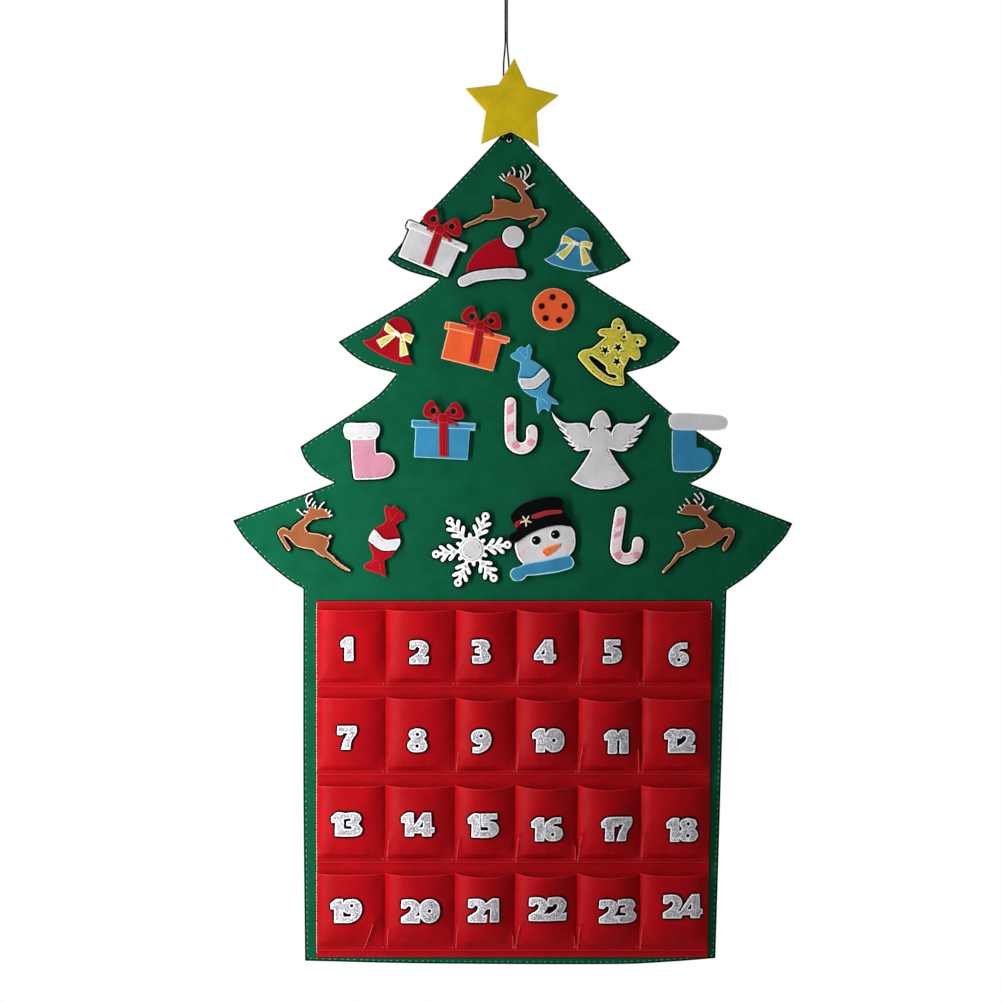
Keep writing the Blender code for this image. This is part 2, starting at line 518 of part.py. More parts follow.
def make_tree():
    right = [tree_point(u, v) for u, v in RIGHT_EDGE_SHARES]
    left = [tree_point(-u, v) for u, v in LEFT_EDGE_SHARES]
    hole_centre = (TREE_SHIFT - CORD_HOLE_LEFT, -TREE_DROP - CORD_HOLE_BELOW_TIP)
    hole = circle(CORD_HOLE_RADIUS, 12, hole_centre)
    bm = felt([right + left], TREE_FELT, 0.0, holes=[hole])
    return add_object("tree_panel", bm, "felt_green")


PANEL_TOP = -TREE_DROP - TIERS_HEIGHT - PANEL_BELOW_TIERS
BACKING_BACK = -TREE_FELT - GAP
STRIP_BACK = BACKING_BACK - BACKING_FELT - GAP


def panel_point(across_share, z):
    """World x of a share of the panel's width, at height z; the panel draws in towards its foot."""
    down = (PANEL_TOP - z) / PANEL_HEIGHT
    width = PANEL_WIDTH - PANEL_TAPER * down
    return TREE_SHIFT + PANEL_SHIFT - PANEL_WIDTH / 2 + across_share * width


def make_backing():
    foot = PANEL_TOP - PANEL_HEIGHT
    outline = [
        (panel_point(0, foot), foot), (panel_point(1, foot), foot),
        (panel_point(1, PANEL_TOP), PANEL_TOP), (panel_point(0, PANEL_TOP), PANEL_TOP),
    ]
    return add_object("pocket_backing", felt([outline], BACKING_FELT, BACKING_BACK), "felt_red")


def strip_foot(row):
    return PANEL_TOP - FIRST_MOUTH_BELOW - row * STRIP_PITCH - STRIP_HEIGHT


def make_pocket_row(row):
    """One strip of felt, sewn down along its foot and its column seams, so that it stands out
    between them as six pockets that are open at the top."""
    foot = strip_foot(row)
    columns = []
    for column in range(len(SEAM_SHARES) - 1):
        first, last = SEAM_SHARES[column], SEAM_SHARES[column + 1]
        for across, lift in ACROSS_SHARES:
            sag = MOUTH_SAG * SAG_SHARES[column] * 4 * across * (1 - across)
            columns.append((first + across * (last - first), lift * FULLNESS_SHARES[column], sag))
    columns.append((SEAM_SHARES[-1], 0.0, 0.0))
    bm = bmesh.new()
    front, back = [], []
    for share, lift, sag in columns:
        near, far = [], []
        for up, rise in UP_SHARES:
            z = foot + up * (STRIP_HEIGHT - sag)
            y = STRIP_BACK - lift * rise * POCKET_DEPTH
            x = panel_point(share, z)
            near.append(bm.verts.new((x, y - STRIP_FELT, z)))
            far.append(bm.verts.new((x, y, z)))
        front.append(near)
        back.append(far)
    top = len(UP_SHARES) - 1
    for i in range(len(columns) - 1):
        for j in range(top):
            bm.faces.new((front[i][j], front[i + 1][j], front[i + 1][j + 1], front[i][j + 1]))
            bm.faces.new((back[i][j], back[i][j + 1], back[i + 1][j + 1], back[i + 1][j]))
        for j, face in ((0, 1), (top, -1)):
            rim = [front[i][j], back[i][j], back[i + 1][j], front[i + 1][j]]
            bm.faces.new(rim[::face])
    for i, face in ((0, 1), (len(columns) - 1, -1)):
        for j in range(top):
            rim = [front[i][j], front[i][j + 1], back[i][j + 1], back[i][j]]
            bm.faces.new(rim[::face])
    bmesh.ops.triangulate(bm, faces=bm.faces)
    surface = BVHTree.FromBMesh(bm)
    add_object(f"pocket_row_{row + 1}", bm, "felt_red")
    return surface


# Numbers

def digit_outline(digit):
    if digit == "9":
        width = DIGIT_WIDTH_SHARES["9"]
        return [(width - u, 1 - v) for u, v in DIGIT_SHARES["6"]]
    return list(DIGIT_SHARES[digit])


def number_outlines(text):
    """The outlines and holes of a number, round its middle; its digits overlap into one piece."""
    outlines, holes, x = [], [], 0.0
    for digit in text:
        place = (x, 0.0)
        outline = [(u * NUMBER_HEIGHT, v * NUMBER_HEIGHT) for u, v in digit_outline(digit)]
        outlines.append(moved(outline, place))
        for u, v in DIGIT_HOLE_SHARES.get(digit, ()):
            centre = (x + u * NUMBER_HEIGHT, v * NUMBER_HEIGHT)
            holes.append(circle(DIGIT_HOLE_RADIUS, 5, centre))
        if digit == "4":
            holes.append(moved([(u * NUMBER_HEIGHT, v * NUMBER_HEIGHT) for u, v in FOUR_HOLE_SHARES], place))
        x += DIGIT_WIDTH_SHARES[digit] * NUMBER_HEIGHT - DIGIT_OVERLAP
    to_middle = (-(x + DIGIT_OVERLAP) / 2, -NUMBER_HEIGHT / 2)
    return [moved(o, to_middle) for o in outlines], [moved(h, to_middle) for h in holes]


def make_number(number, surface):
    """A number cut from glitter felt, which leans with its pocket's front and rests on the
    fullest place there."""
    index = number - 1
    row, column = divmod(index, len(SEAM_SHARES) - 1)
    across, up = NUMBER_PLACE_SHARES[index]
    first, last = SEAM_SHARES[column], SEAM_SHARES[column + 1]
    z = strip_foot(row) + up * STRIP_HEIGHT
    x = panel_point(first + across * (last - first), z)
    outlines, holes = number_outlines(str(number))
    bm = felt(outlines, NUMBER_FELT, 0.0, holes=holes)
    reach_x = max(abs(v.co.x) for v in bm.verts)
    reach_z = max(abs(v.co.z) for v in bm.verts)
    steps = 6
    before = Vector((0, -TREE_WIDTH, 0))

    def height(dx, dz):
        hit = surface.ray_cast(Vector((x + dx, 0, z + dz)) + before, Vector((0, 1, 0)))[0]
        return hit.y

    lean_x = (height(reach_x / 2, 0) - height(-reach_x / 2, 0)) / reach_x
    lean_z = (height(0, reach_z / 2) - height(0, -reach_z / 2)) / reach_z
    fullest = 0.0
    for i in range(-steps, steps + 1):
        for j in range(-steps, steps + 1):
            dx, dz = reach_x * i / steps, reach_z * j / steps
            fullest = min(fullest, height(dx, dz) - lean_x * dx - lean_z * dz)
    for v in bm.verts:
        v.co.y += lean_x * v.co.x + lean_z * v.co.z
    return add_object(f"number_{number:02d}", bm, "glitter_white", location=(x, fullest - GAP, z))


# Ornaments

DOT_BACK = -GAP
PLATE_BACK = DOT_BACK - HOOK_THICKNESS
TRIM_BACK = PLATE_BACK - ORNAMENT_FELT - GAP


def ornament(name):
    """An empty at the ornament's place on the front of the tree, turned by its tilt."""
    across, down, tilt = PLACE_SHARES[name]
    return place(name, *tree_point(across, down), tilt)


def place(name, x, z, tilt=0):
    holder = bpy.data.objects.new(f"{name}_place", None)
    holder.location = (x, -TREE_FELT, z)
    holder.rotation_euler = (0, math.radians(tilt), 0)
    bpy.context.scene.collection.objects.link(holder)
    return holder


def plate(name, colour, holder, outlines, dot=(0, 0), dot_radius=HOOK_RADIUS, holes=(), raised=(), dot_sides=10):
    dots = [circle(dot_radius, dot_sides, dot)]
    bm = felt(outlines, ORNAMENT_FELT, PLATE_BACK, holes=holes, raised=raised, dots=dots)
    return add_object(name, bm, colour, holder)


def trim(name, colour, holder, outlines, holes=(), raised=()):
    bm = felt(outlines, TRIM_FELT, TRIM_BACK, holes=holes, raised=raised)
    return add_object(name, bm, colour, holder)


def make_star():
    tip_x, tip_z = tree_point(0, 0)
    holder = place("star", tip_x + STAR_RIGHT, tip_z + STAR_ABOVE_TIP)
    dot = (-STAR_RIGHT, -STAR_ABOVE_TIP - STAR_HOOK_BELOW_TIP)
    outline = scaled(STAR_SHARES, STAR_WIDTH, STAR_HEIGHT)
    plate("star", "felt_yellow", holder, [outline], dot, STAR_HOOK_RADIUS, dot_sides=8)


def make_reindeer(name, faces_right):
    outline = scaled(REINDEER_SHARES, REINDEER_WIDTH, REINDEER_HEIGHT)
    dot = spot((0.47, 0.40), REINDEER_WIDTH, REINDEER_HEIGHT)
    if faces_right:
        outline, (dot,) = mirrored(outline), mirrored([dot])
    plate(name, "felt_brown", ornament(name), [outline], dot, SMALL_HOOK_RADIUS)


def make_gift(colour_word, colour):
    holder = ornament(f"gift_{colour_word}")
    box = scaled(GIFT_SHARES, GIFT_WIDTH, GIFT_HEIGHT)
    plate(f"gift_box_{colour_word}", colour, holder, [box])
    lift = (0, (RIBBON_HEIGHT - GIFT_HEIGHT) / 2)
    ribbon = moved(scaled(RIBBON_SHARES, RIBBON_WIDTH, RIBBON_HEIGHT), lift)
    holes = []
    for share in RIBBON_HOLE_SHARES:
        centre = moved([spot(share, RIBBON_WIDTH, RIBBON_HEIGHT)], lift)[0]
        holes.append(circle(RIBBON_HOLE_RADIUS, 6, centre))
    trim(f"gift_ribbon_{colour_word}", "felt_red", holder, [ribbon], holes)


def make_santa_hat():
    holder = ornament("santa_hat")
    plate("santa_hat", "felt_red", holder, [scaled(HAT_SHARES, HAT_WIDTH, HAT_HEIGHT)])
    brim = band(scaled(HAT_BRIM_SHARES, HAT_WIDTH, HAT_HEIGHT), HAT_BRIM_WIDTH)
    trim("santa_hat_brim", "felt_white", holder, [brim])
    pompom = circle(POMPOM_RADIUS, 20, spot(POMPOM_SHARES, HAT_WIDTH, HAT_HEIGHT))
    trim("santa_hat_pompom", "felt_white", holder, [pompom])


def make_bell(colour_word, colour):
    name = f"bell_{colour_word}"
    holder = ornament(name)
    plate(name, colour, holder, [scaled(BELL_SHARES, BELL_WIDTH, BELL_HEIGHT)])
    bow = moved(scaled(BOW_SHARES, BOW_WIDTH, BOW_HEIGHT), spot(BOW_PLACE_SHARES, BELL_WIDTH, BELL_HEIGHT))
    trim(f"bell_bow_{colour_word}", "felt_lemon", holder, [bow])


def make_biscuit():
    dots = [
        circle(BISCUIT_DOT_RADIUS, 8, (u * BISCUIT_RADIUS, v * BISCUIT_RADIUS)) for u, v in BISCUIT_DOT_SHARES
    ]
    plate("biscuit", "felt_orange", ornament("biscuit"), [circle(BISCUIT_RADIUS, 24)], raised=dots)


def make_pierced_bell():
    size = (PIERCED_BELL_WIDTH, PIERCED_BELL_HEIGHT)
    holes = [scaled(CRESCENT_SHARES, *size)]
    holes += [star(PIERCED_STAR_RADIUS, spot(share, *size)) for share in PIERCED_STAR_SHARES]
    holes += [circle(PIERCED_DOT_RADIUS, 6, spot(share, *size)) for share in PIERCED_DOT_SHARES]
    dot = spot((0.49, 0.68), *size)
    outline = scaled(PIERCED_BELL_SHARES, *size)
    plate("bell_yellow", "felt_lemon", ornament("bell_yellow"), [outline], dot, SMALL_HOOK_RADIUS, holes)


def make_candy(colour_word, colour):
    name = f"candy_{colour_word}"
    outline = scaled(CANDY_SHARES, CANDY_WIDTH, CANDY_HEIGHT)
    stripe = scaled(CANDY_BAND_SHARES, CANDY_WIDTH, CANDY_HEIGHT)
    plate(name, colour, ornament(name), [outline], raised=[stripe])


def make_candy_cane(name):
    """A cane that stands on its hook: a stem on the left, a half ring below and a tip on the right."""
    steps = 6
    foot = -CANE_STEM / 2
    line = [(-CANE_HOOK_RADIUS, CANE_STEM / 2)]
    for i in range(steps + 1):
        angle = math.pi + math.pi * i / steps
        line.append((CANE_HOOK_RADIUS * math.cos(angle), foot + CANE_HOOK_RADIUS * math.sin(angle)))
    line.append((CANE_HOOK_RADIUS, foot + CANE_TIP))
    dot = (-CANE_HOOK_RADIUS, 0)
    plate(name, "felt_white", ornament(name), [band(line, CANE_BAND)], dot, SMALL_HOOK_RADIUS)


def make_angel():
    half = [(u * ANGEL_WIDTH, (v - 0.5) * ANGEL_HEIGHT) for u, v in ANGEL_HALF_SHARES]
    outline = half + mirrored(half[1:-1])[::-1]
    dot = (0, -0.2 * ANGEL_HEIGHT)
    plate("angel", "felt_white", ornament("angel"), [outline], dot)


def make_stocking(colour_word, colour, width, height, outline, cuff):
    name = f"stocking_{colour_word}"
    dot = spot((0.32, 0.36), width, height)
    boot, trim_band = scaled(outline, width, height), scaled(cuff, width, height)
    plate(name, colour, ornament(name), [boot], dot, raised=[trim_band])


def make_snowflake():
    """Six arms, each with a ring at its end and two pairs of barbs, round a disc, with a short
    spike between each arm and the next."""
    arms = 6
    outlines, holes = [circle(SNOWFLAKE_RIM_RADIUS, 18)], []
    foot = SNOWFLAKE_RIM_RADIUS - SNOWFLAKE_ARM / 8
    for arm in range(arms):
        turn = arm * 360 / arms
        tip = (0, SNOWFLAKE_RADIUS)
        pieces = [band([(0, foot), tip], SNOWFLAKE_ARM, 2), circle(SNOWFLAKE_RING_RADIUS, 8, tip)]
        for share in SNOWFLAKE_BARB_SHARES:
            root = (0, share * SNOWFLAKE_RADIUS)
            for side in (-45, 45):
                pieces.append(moved(turned(band([(0, 0), (0, SNOWFLAKE_BARB)], SNOWFLAKE_ARM, 2), side), root))
        outlines += [turned(piece, turn) for piece in pieces]
        spike = band([(0, foot), (0, SNOWFLAKE_SPIKE_REACH - SNOWFLAKE_ARM / 2)], SNOWFLAKE_ARM, 2)
        outlines.append(turned(spike, turn + 180 / arms))
        holes.append(turned(circle(SNOWFLAKE_RING_HOLE_RADIUS, 6, tip), turn))
    disc = circle(SNOWFLAKE_DISC_RADIUS, 18)
    plate("snowflake", "felt_white", ornament("snowflake"), outlines, holes=holes, raised=[disc])


def make_snowman():
    holder = ornament("snowman")
    face = ellipse(FACE_WIDTH, FACE_HEIGHT, 28)
    scarf_at = spot(SCARF_PLACE_SHARES, FACE_WIDTH, FACE_HEIGHT)
    half = SCARF_LENGTH / 2

    def wound(outline):
        return moved(turned(outline, -SCARF_TILT), scarf_at)

    scarf = [
        wound(band([(-half, 0), (half, 0)], SCARF_BAND)),
        wound(circle(SCARF_END_RADIUS, 12, (-half, -SCARF_BAND / 4))),
    ]
    carrot_at = spot(CARROT_PLACE_SHARES, FACE_WIDTH, FACE_HEIGHT)
    raised = [moved(scaled(CARROT_SHARES, CARROT_WIDTH, CARROT_HEIGHT), carrot_at)]
    raised += [circle(EYE_RADIUS, 10, spot(share, FACE_WIDTH, FACE_HEIGHT)) for share in FACE_EYE_SHARES]
    raised.append(wound(band([(-half, 0), (half, 0)], SCARF_BAND - RAISED_FELT)))
    plate("snowman_head", "felt_white", holder, [face, *scarf], raised=raised)
    hat_at = (HAT_OFFSET_SHARES[0] * FACE_WIDTH, HAT_OFFSET_SHARES[1] * FACE_HEIGHT)
    hat = moved(scaled(TOP_HAT_SHARES, TOP_HAT_WIDTH, TOP_HAT_HEIGHT), hat_at)
    stripe = moved(band(scaled(HAT_STRIPE_SHARES, TOP_HAT_WIDTH, TOP_HAT_HEIGHT), HAT_STRIPE_BAND, 2), hat_at)
    trim("snowman_hat", "felt_black", holder, [hat], raised=[stripe])


# Hanging cord

def smooth_line(route):
    """Points of a smooth curve through a route's points, close together only where it bends."""
    points = [Vector(p) for p in route]
    fine = []
    parts = 8
    for i in range(len(points) - 1):
        before = points[max(i - 1, 0)]
        here, after = points[i], points[i + 1]
        beyond = points[min(i + 2, len(points) - 1)]
        for j in range(parts):
            t = j / parts
            fine.append(0.5 * (
                2 * here + (after - before) * t
                + (2 * before - 5 * here + 4 * after - beyond) * t ** 2
                + (3 * here - before - 3 * after + beyond) * t ** 3
            ))
    fine.append(points[-1])
    line = [fine[0]]
    start = (fine[1] - fine[0]).normalized()
    for here, after in zip(fine[1:], fine[2:]):
        way = (after - here).normalized()
        if way.angle(start) > CORD_TURN or (here - line[-1]).length > CORD_POINT_STEP:
            line.append(here)
            start = way
    return line + [fine[-1]]


def make_cord():
    """One cord, tied to itself in a knot in front of the hole."""
    line = smooth_line(CORD_ROUTE)
    curve = bpy.data.curves.new("cord_line", "CURVE")
    curve.dimensions = "3D"
    curve.bevel_depth = CORD_DIAMETER / 2
    curve.bevel_resolution = 2
    curve.render_resolution_u = 0
    curve.use_fill_caps = True
    spline = curve.splines.new("POLY")
    spline.points.add(len(line) - 1)
    for point, place in zip(spline.points, line):
        point.co = (*place, 1.0)
    guide = bpy.data.objects.new("cord_guide", curve)
    bm = bmesh.new()
    tube = bpy.data.meshes.new_from_object(guide)
    bm.from_mesh(tube)
    bpy.data.objects.remove(guide)
    bmesh.ops.remove_doubles(bm, verts=bm.verts, dist=MERGE)
    cord = add_object("hanging_cord", bm, "cord_red")
    ball = bmesh.new()
    bmesh.ops.create_uvsphere(ball, u_segments=12, v_segments=8, radius=1.0)
    for v in ball.verts:
        v.co = Vector(a * b for a, b in zip(v.co, KNOT_RADII))
    knot = add_object("knot_shape", ball, "cord_red", location=KNOT_CENTRE)
    knot.hide_render = True
    knot.display_type = "WIRE"
    union = cord.modifiers.new("knot", "BOOLEAN")
    union.operation = "UNION"
    union.object = knot
    return cord


def main():
    clear_scene()
    make_tree()
    make_backing()
    surfaces = [make_pocket_row(row) for row in range(ROWS)]
    for number in range(1, 25):
        make_number(number, surfaces[(number - 1) // 6])
    make_cord()
    make_star()
    for name, faces_right in (("reindeer_top", True), ("reindeer_left", False), ("reindeer_right", True)):
        make_reindeer(name, faces_right)
    for colour_word, colour in (("white", "felt_white"), ("orange", "felt_orange"), ("blue", "felt_blue")):
        make_gift(colour_word, colour)
    make_santa_hat()
    for colour_word, colour in (("blue", "felt_blue"), ("red", "felt_red")):
        make_bell(colour_word, colour)
        make_candy(colour_word, colour)
    make_biscuit()
    make_pierced_bell()
    make_candy_cane("candy_cane_upper")
    make_candy_cane("candy_cane_lower")
    make_angel()
    make_stocking(
        "pink", "felt_pink", PINK_STOCKING_WIDTH, PINK_STOCKING_HEIGHT, PINK_STOCKING_SHARES, PINK_CUFF_SHARES
    )
    make_stocking(
        "blue", "felt_blue", BLUE_STOCKING_WIDTH, BLUE_STOCKING_HEIGHT, BLUE_STOCKING_SHARES, BLUE_CUFF_SHARES
    )
    make_snowflake()
    make_snowman()


main()
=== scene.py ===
"""Looks of the felt advent calendar: every CAD node is replaced by detailed felt, glitter or cord."""

import json
import math

import bmesh
import bpy
import numpy as np
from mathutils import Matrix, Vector, noise
from mathutils.geometry import delaunay_2d_cdt
from mathutils.kdtree import KDTree


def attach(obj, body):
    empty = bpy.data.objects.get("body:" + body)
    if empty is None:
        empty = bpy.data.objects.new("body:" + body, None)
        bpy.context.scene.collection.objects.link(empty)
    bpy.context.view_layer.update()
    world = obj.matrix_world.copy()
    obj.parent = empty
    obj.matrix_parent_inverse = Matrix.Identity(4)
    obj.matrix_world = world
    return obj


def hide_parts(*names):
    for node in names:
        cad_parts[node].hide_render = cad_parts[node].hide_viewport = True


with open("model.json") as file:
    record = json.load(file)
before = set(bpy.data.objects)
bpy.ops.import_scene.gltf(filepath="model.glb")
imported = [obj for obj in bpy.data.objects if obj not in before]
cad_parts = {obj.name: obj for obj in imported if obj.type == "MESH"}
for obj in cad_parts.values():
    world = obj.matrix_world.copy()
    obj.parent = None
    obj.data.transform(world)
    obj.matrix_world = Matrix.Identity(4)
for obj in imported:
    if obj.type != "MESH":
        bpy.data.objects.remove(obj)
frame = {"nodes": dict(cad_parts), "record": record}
NODES = frame["nodes"]
BODY = {n: b for b, names in frame["record"]["behaviour"]["bodies"].items() for n in names}
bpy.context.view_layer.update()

MM = 0.001
scene = bpy.context.scene


# Materials

def rgb(r, g, b):
    """Linear colour of 0..255 sRGB numbers."""
    out = []
    for c in (r, g, b):
        c /= 255
        out.append(c / 12.92 if c <= 0.04045 else ((c + 0.055) / 1.055) ** 2.4)
    return (*out, 1.0)


class Shader:
    """A Principled material, with short ways to add its nodes."""

    def __init__(self, name, roughness=0.9, specular=0.2):
        self.material = bpy.data.materials.new(name)
        self.material.use_nodes = True
        self.tree = self.material.node_tree
        self.tree.nodes.clear()
        out = self.node("OutputMaterial")
        self.bsdf = self.node("BsdfPrincipled")
        self.link(self.bsdf.outputs[0], out.inputs[0])
        self.bsdf.inputs["Roughness"].default_value = roughness
        self.bsdf.inputs["Specular IOR Level"].default_value = specular
        self.place = self.node("TexCoord").outputs["Object"]

    def node(self, kind, **settings):
        made = self.tree.nodes.new("ShaderNode" + kind)
        for key, value in settings.items():
            setattr(made, key, value)
        return made

    def link(self, a, b):
        self.tree.links.new(a, b)

    def put(self, socket, value):
        if isinstance(value, bpy.types.NodeSocket):
            self.link(value, socket)
        else:
            socket.default_value = value

    def noise(self, scale, detail=2.0, rough=0.5, distortion=0.0):
        n = self.node("TexNoise")
        self.link(self.place, n.inputs["Vector"])
        for key, number in (("Scale", scale), ("Detail", detail), ("Roughness", rough),
                            ("Distortion", distortion)):
            n.inputs[key].default_value = number
        return n.outputs["Fac"]

    def cells(self, scale):
        """A random colour for each cell of the given scale."""
        n = self.node("TexVoronoi")
        self.link(self.place, n.inputs["Vector"])
        n.inputs["Scale"].default_value = scale
        return n.outputs["Color"]

    def span(self, value, a, b, to_a=0.0, to_b=1.0):
        n = self.node("MapRange")
        self.put(n.inputs["Value"], value)
        for key, number in (("From Min", a), ("From Max", b), ("To Min", to_a), ("To Max", to_b)):
            n.inputs[key].default_value = number
        return n.outputs["Result"]

    def math(self, operation, a, b=0.0):
        n = self.node("Math", operation=operation)
        self.put(n.inputs[0], a)
        self.put(n.inputs[1], b)
        return n.outputs[0]

    def mix(self, factor, a, b):
        n = self.node("Mix", data_type="RGBA")
        self.put(n.inputs["Factor"], factor)
        self.put(n.inputs[6], a)
        self.put(n.inputs[7], b)
        return n.outputs[2]

    def bump(self, height, distance, strength):
        n = self.node("Bump")
        n.inputs["Strength"].default_value = strength
        n.inputs["Distance"].default_value = distance
        self.link(height, n.inputs["Height"])
        return n.outputs["Normal"]

    def vector_math(self, operation, a, b=None):
        n = self.node("VectorMath", operation=operation)
        self.link(a, n.inputs[0])
        if b is not None:
            self.put(n.inputs[1], b)
        return n

    def rim(self, width):
        """1 at a piece's cut edge, 0 from that width inwards."""
        n = self.node("Attribute", attribute_name="rim")
        return self.span(n.outputs["Fac"], 0.62 * width, width, 1.0, 0.0)


def shade(colour, k):
    """The colour k times as bright."""
    return (*(min(1.0, c * k) for c in colour[:3]), 1.0)


def felt(name, colour, pale=None, pale_width=1.3, pale_share=0.5, mottle=0.16, sheen=0.10, speck=0.0,
         speck_colour=(0.12, 0.1, 0.1, 1.0), rough=0.95, specular=0.03):
    """Needle felt: matted fibres, a soft mottle, a pricked edge of another tone and a soft sheen. The edge
    tone is partly the fibres' own fuzz and partly painted light: a painted highlight where it is paler than
    the felt, painted shade where it is darker.
    """
    broad = 0.12
    s = Shader(name, roughness=rough, specular=specular)
    fine = s.noise(1500, 3.0, 0.65)
    hair = s.noise(420, 5.0, 0.7, distortion=2.2)
    cloud = s.noise(38, 3.0, 0.55)
    tone = s.math("ADD", s.span(hair, 0.3, 0.7, -mottle, mottle), s.span(cloud, 0.3, 0.7, -broad, broad))
    tone = s.math("ADD", tone, s.span(fine, 0.3, 0.7, -0.5 * mottle, 0.5 * mottle))
    base = s.mix(s.span(tone, -0.4, 0.4), shade(colour, 0.6), shade(colour, 1.4))
    # edge tone along the cut edge: partly the fibres' own fuzz, partly painted highlight on paler edges and
    # painted shade on darker edges
    if pale:
        edge = s.math("MULTIPLY", s.rim(pale_width * MM), s.span(hair, 0.25, 0.6, 0.6, 1.0))
        base = s.mix(s.math("MULTIPLY", edge, pale_share), base, pale)
    if speck:
        far = s.node("Attribute", attribute_name="rim").outputs["Fac"]
        off = s.math("ABSOLUTE", s.math("SUBTRACT", far, (pale_width + 0.55) * MM))
        close = s.span(off, 0.2 * MM, 0.75 * MM, 1.0, 0.0)
        pricks = s.span(s.noise(330, 1.0), 0.55, 0.62)
        base = s.mix(s.math("MULTIPLY", s.math("MULTIPLY", close, pricks), speck), base, speck_colour)
    s.link(base, s.bsdf.inputs["Base Color"])
    s.bsdf.inputs["Sheen Weight"].default_value = sheen
    s.bsdf.inputs["Sheen Roughness"].default_value = 0.45
    s.bsdf.inputs["Sheen Tint"].default_value = shade(colour, 1.3)
    height = s.math("ADD", s.math("MULTIPLY", hair, 0.8), s.math("MULTIPLY", fine, 0.35))
    s.link(s.bump(height, 0.45 * MM, 0.55), s.bsdf.inputs["Normal"])
    return s.material


def glitter(name, colour, rim_width, contrast):
    """Glitter felt: tiny flakes that each lean their own way, on a white cut edge."""
    s = Shader(name, roughness=0.42, specular=0.6)
    flakes = s.cells(1150)
    pick = s.node("SeparateColor")
    s.link(flakes, pick.inputs[0])
    cloud = s.noise(120, 2.0)
    tone = s.math("ADD", pick.outputs[0], s.span(cloud, 0.3, 0.7, -0.2, 0.2))
    base = s.mix(s.span(tone, 0.0, 1.0), shade(colour, 1 - contrast), shade(colour, 1 + contrast))
    base = s.mix(s.span(pick.outputs[1], 0.8, 0.84), base, (0.95, 0.95, 0.97, 1.0))
    edge = s.rim(rim_width * MM)
    s.link(s.mix(edge, base, (0.93, 0.93, 0.94, 1.0)), s.bsdf.inputs["Base Color"])
    lean = s.vector_math("SUBTRACT", flakes, (0.5, 0.5, 0.5))
    less = s.vector_math("SCALE", lean.outputs[0])
    less.inputs["Scale"].default_value = 0.55
    tilted = s.vector_math("ADD", less.outputs[0], s.node("NewGeometry").outputs["Normal"])
    s.link(s.vector_math("NORMALIZE", tilted.outputs[0]).outputs[0], s.bsdf.inputs["Normal"])
    return s.material


def thread(name, colour, sheen=0.1, specular=0.12):
    """Sewing thread or cord."""
    s = Shader(name, roughness=0.7, specular=specular)
    strand = s.noise(900, 4.0, 0.6)
    s.link(s.mix(s.span(strand, 0.3, 0.7), shade(colour, 0.7), shade(colour, 1.25)),
           s.bsdf.inputs["Base Color"])
    s.bsdf.inputs["Sheen Weight"].default_value = sheen
    s.link(s.bump(strand, 0.15 * MM, 0.5), s.bsdf.inputs["Normal"])
    return s.material


def plain(name, colour, roughness=0.6):
    """A matt surface with a faint mottle."""
    s = Shader(name, roughness=roughness, specular=0.3)
    fine = s.noise(300, 3.0)
    s.link(s.mix(s.span(fine, 0.3, 0.7), shade(colour, 0.85), shade(colour, 1.12)),
           s.bsdf.inputs["Base Color"])
    return s.material


SNOW = rgb(228, 228, 231)
# its near-black edge tone is painted shade along the tree's outline
GREEN = felt("felt_green", rgb(11, 80, 53), pale=rgb(2, 14, 10), pale_width=2.3, pale_share=1.0, sheen=0.14)
# its paler rim, along the pockets' mouths and edges, is partly painted highlight
RED = felt("felt_red", rgb(158, 5, 15), pale=rgb(214, 40, 50), pale_width=1.0, pale_share=0.6, sheen=0.0,
           rough=0.45, specular=0.06)
YELLOW = felt("felt_yellow", rgb(210, 183, 28), pale=rgb(232, 214, 110), pale_width=1.0, pale_share=0.6)
BROWN = felt("felt_brown", rgb(137, 79, 50), pale=rgb(206, 160, 122), pale_width=1.1, pale_share=0.75)
ORANGE = felt("felt_orange", rgb(228, 92, 48), pale=rgb(250, 190, 158), pale_width=1.2, pale_share=0.85)
BLUE = felt("felt_blue", rgb(52, 127, 163), pale=rgb(170, 216, 236), pale_width=1.1, pale_share=0.8)
DEEP_BLUE = felt("felt_deep_blue", rgb(50, 128, 166), pale=rgb(110, 170, 205), pale_width=0.8, pale_share=0.5)
SKY = felt("felt_sky", rgb(66, 144, 182), pale=rgb(150, 208, 236), pale_width=1.1, pale_share=0.7)
LEMON = felt("felt_lemon", rgb(196, 184, 60), pale=rgb(240, 234, 156), pale_width=1.7, pale_share=1.0,
             mottle=0.5, speck=1.0, speck_colour=rgb(70, 62, 14))
CREAM = felt("felt_cream", rgb(206, 196, 96), pale=rgb(246, 242, 206), pale_width=1.7, pale_share=1.0,
             mottle=0.3, speck=0.7, speck_colour=rgb(110, 98, 30))
PINK = felt("felt_pink", rgb(186, 127, 145), pale=SNOW, pale_width=1.7, pale_share=1.0, speck=0.8)
CANE = felt("felt_cane", rgb(220, 202, 207), pale=rgb(250, 250, 252), pale_width=1.9, pale_share=1.0,
            speck=0.7, mottle=0.2)
CANE_PINK = felt("felt_cane_pink", rgb(214, 140, 156), mottle=0.34)
BLACK = felt("felt_black", rgb(8, 9, 10), pale=rgb(34, 34, 38), pale_width=0.9, pale_share=0.5, sheen=0.02)
WHITE = felt("felt_white", rgb(196, 196, 199), pale=SNOW, pale_width=1.8, pale_share=1.0, mottle=0.10,
             speck=0.75)
BRIGHT = felt("felt_white_bright", rgb(196, 196, 199), pale=rgb(250, 250, 252), pale_width=1.8,
              pale_share=1.0, mottle=0.10, speck=0.85)
CUFF = felt("felt_cuff", rgb(204, 204, 207), pale=SNOW, pale_width=1.6, pale_share=1.0, mottle=0.08)
